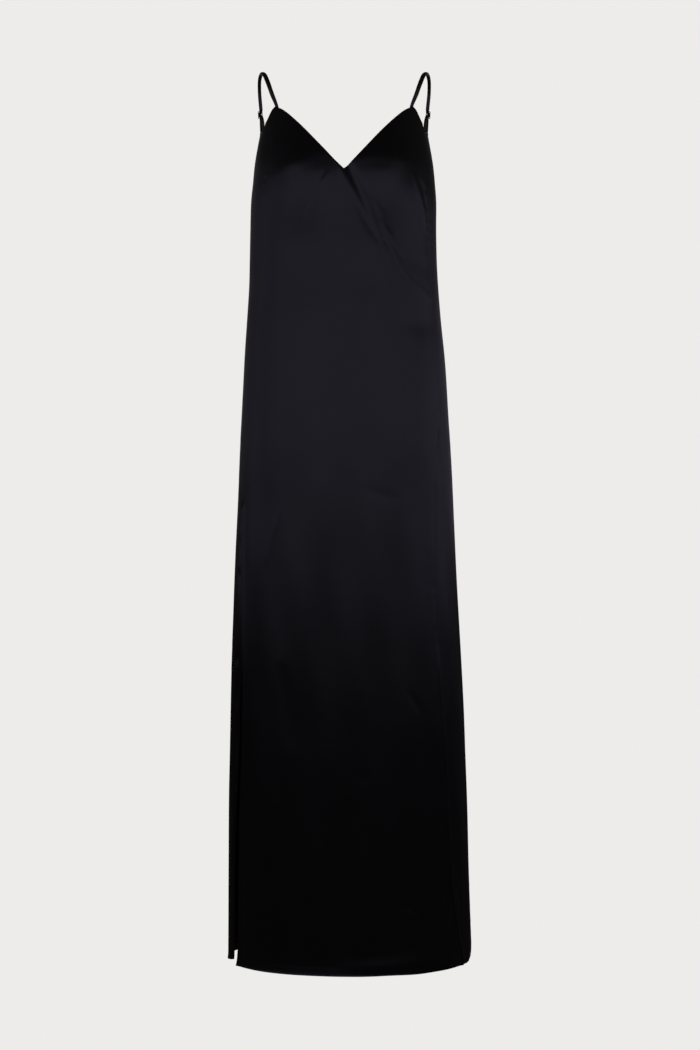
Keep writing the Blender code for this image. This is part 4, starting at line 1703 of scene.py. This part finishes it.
@dataclass
class Studio:
    """A plain pale floor and backdrop, softboxes all round, and the camera."""

    backdrop: tuple[float, float, float] = (0.8469, 0.8388, 0.8228)
    eye: tuple[float, float, float] = (0.0089, -3.350, -0.7004)
    lens: float = 74.09
    floor_drop: float = 0.060
    floor_size: float = 60.0
    fill: tuple[float, float, float] = (0.0370, 0.0365, 0.0340)
    floor_grey: tuple[float, float, float] = (0.200, 0.205, 0.165)
    box_distance: float = 2.2
    box_width: float = 1.90
    softboxes: tuple[Softbox, ...] = (
        Softbox("front", -90.0, -0.725, 0.85, 0.355, FRONT_COOL),
        Softbox("front_left", -45.0, -0.725, 0.85, 0.355, FRONT_COOL),
        Softbox("front_right", -135.0, -0.725, 0.85, 0.355, FRONT_COOL),
        Softbox("left", 0.0, -0.76, 0.16, 0.32, SIDE_COOL),
        Softbox("right", 180.0, -0.75, 0.34, 0.22, SIDE_COOL),
        Softbox("rear_left", 45.0, -0.70, 0.00, 0.12, SIDE_COOL),
        Softbox("low_left", 40.0, -1.40, -0.72, 0.013, SIDE_COOL),
        Softbox("rear_right", 135.0, -0.56, 0.38, 0.055, SIDE_COOL),
        Softbox("rear", 90.0, -0.70, 1.00, 0.21, FRONT_COOL),
    )

    def build_world(self) -> None:
        """A weak even fill; the eye sees the plain backdrop."""
        world = bpy.data.worlds.new("studio")
        bpy.context.scene.world = world
        world.use_nodes = True
        kit = NodeKit(world.node_tree)
        shade = world.node_tree.nodes["Background"]
        kit.put(shade, {"Color": (*self.fill, 1.0)})
        plain = kit.add("Background", {"Color": (*self.backdrop, 1.0)})
        kit.seen_or_lit(shade, plain, world.node_tree.nodes["World Output"])

    def build_softboxes(self) -> None:
        """The softboxes, each facing the dress."""
        for box in self.softboxes:
            light = bpy.data.lights.new(f"softbox_{box.name}", "AREA")
            light.shape = "RECTANGLE"
            light.color = box.colour
            light.size, light.size_y = self.box_width, box.high - box.low
            light.energy = box.light * math.pi * light.size * light.size_y
            lamp = bpy.data.objects.new(light.name, light)
            turn = math.radians(box.degrees)
            away = Vector((math.cos(turn), math.sin(turn), 0.0))
            lamp.location = away * self.box_distance + Vector((0.0, 0.0, (box.high + box.low) / 2))
            lamp.rotation_euler = away.to_track_quat("Z", "Y").to_euler()
            lamp.visible_camera = False
            bpy.context.scene.collection.objects.link(lamp)

    def build_floor(self) -> None:
        """A wide plain floor in the backdrop's colour, below the hem."""
        half = self.floor_size / 2
        z = HEM_Z - self.floor_drop
        points = [(-half, -half, z), (half, -half, z), (half, half, z), (-half, half, z)]
        floor = make_mesh("floor", np.array(points), [[0, 1, 2, 3]])
        material, kit, shader = new_material("pale_floor")
        kit.put(shader, {"Base Color": (*self.floor_grey, 1.0), "Roughness": 0.9, "Specular IOR Level": 0.0})
        glow = kit.add("Emission", {"Color": (*self.backdrop, 1.0)})
        kit.seen_or_lit(shader, glow, material.node_tree.nodes["Material Output"])
        floor.data.materials.append(material)

    def build_camera(self) -> None:
        """A level camera in front of the dress."""
        data = bpy.data.cameras.new("camera")
        data.lens = self.lens
        data.sensor_width = 36.0
        data.clip_end = 100.0
        camera = bpy.data.objects.new("camera", data)
        camera.location = self.eye
        camera.rotation_euler = (math.pi / 2, 0.0, 0.0)
        bpy.context.scene.collection.objects.link(camera)
        bpy.context.scene.camera = camera

    def build(self) -> None:
        """Sets up the whole studio."""
        self.build_world()
        self.build_softboxes()
        self.build_floor()
        self.build_camera()
        bpy.context.scene.view_settings.view_transform = "Standard"


def main() -> None:
    logging.basicConfig(level=logging.INFO, format="%(name)s: %(message)s")
    Studio().build()
    finishes = Finishes()
    form = DressForm()
    front = FrontPanel(form).build(finishes)
    back = BackPanel(form).build(finishes)
    work = ThreadWork()
    on_front, on_back = [work.slit_tack(form, finishes)], []
    for side in Side:
        strap = StrapSet(form, side)
        on_front += [strap.build_strap(finishes), strap.build_slider(finishes), strap.build_tack(work, finishes)]
        on_back += [strap.build_tab(finishes), strap.build_ring(finishes)]
        on_back.append(SideSeam(form, side).build(finishes))
    for piece in (front, back, *on_front, *on_back):
        log.info("%s: %d faces", piece.name, len(piece.data.polygons))


if __name__ == "__main__":
    main()
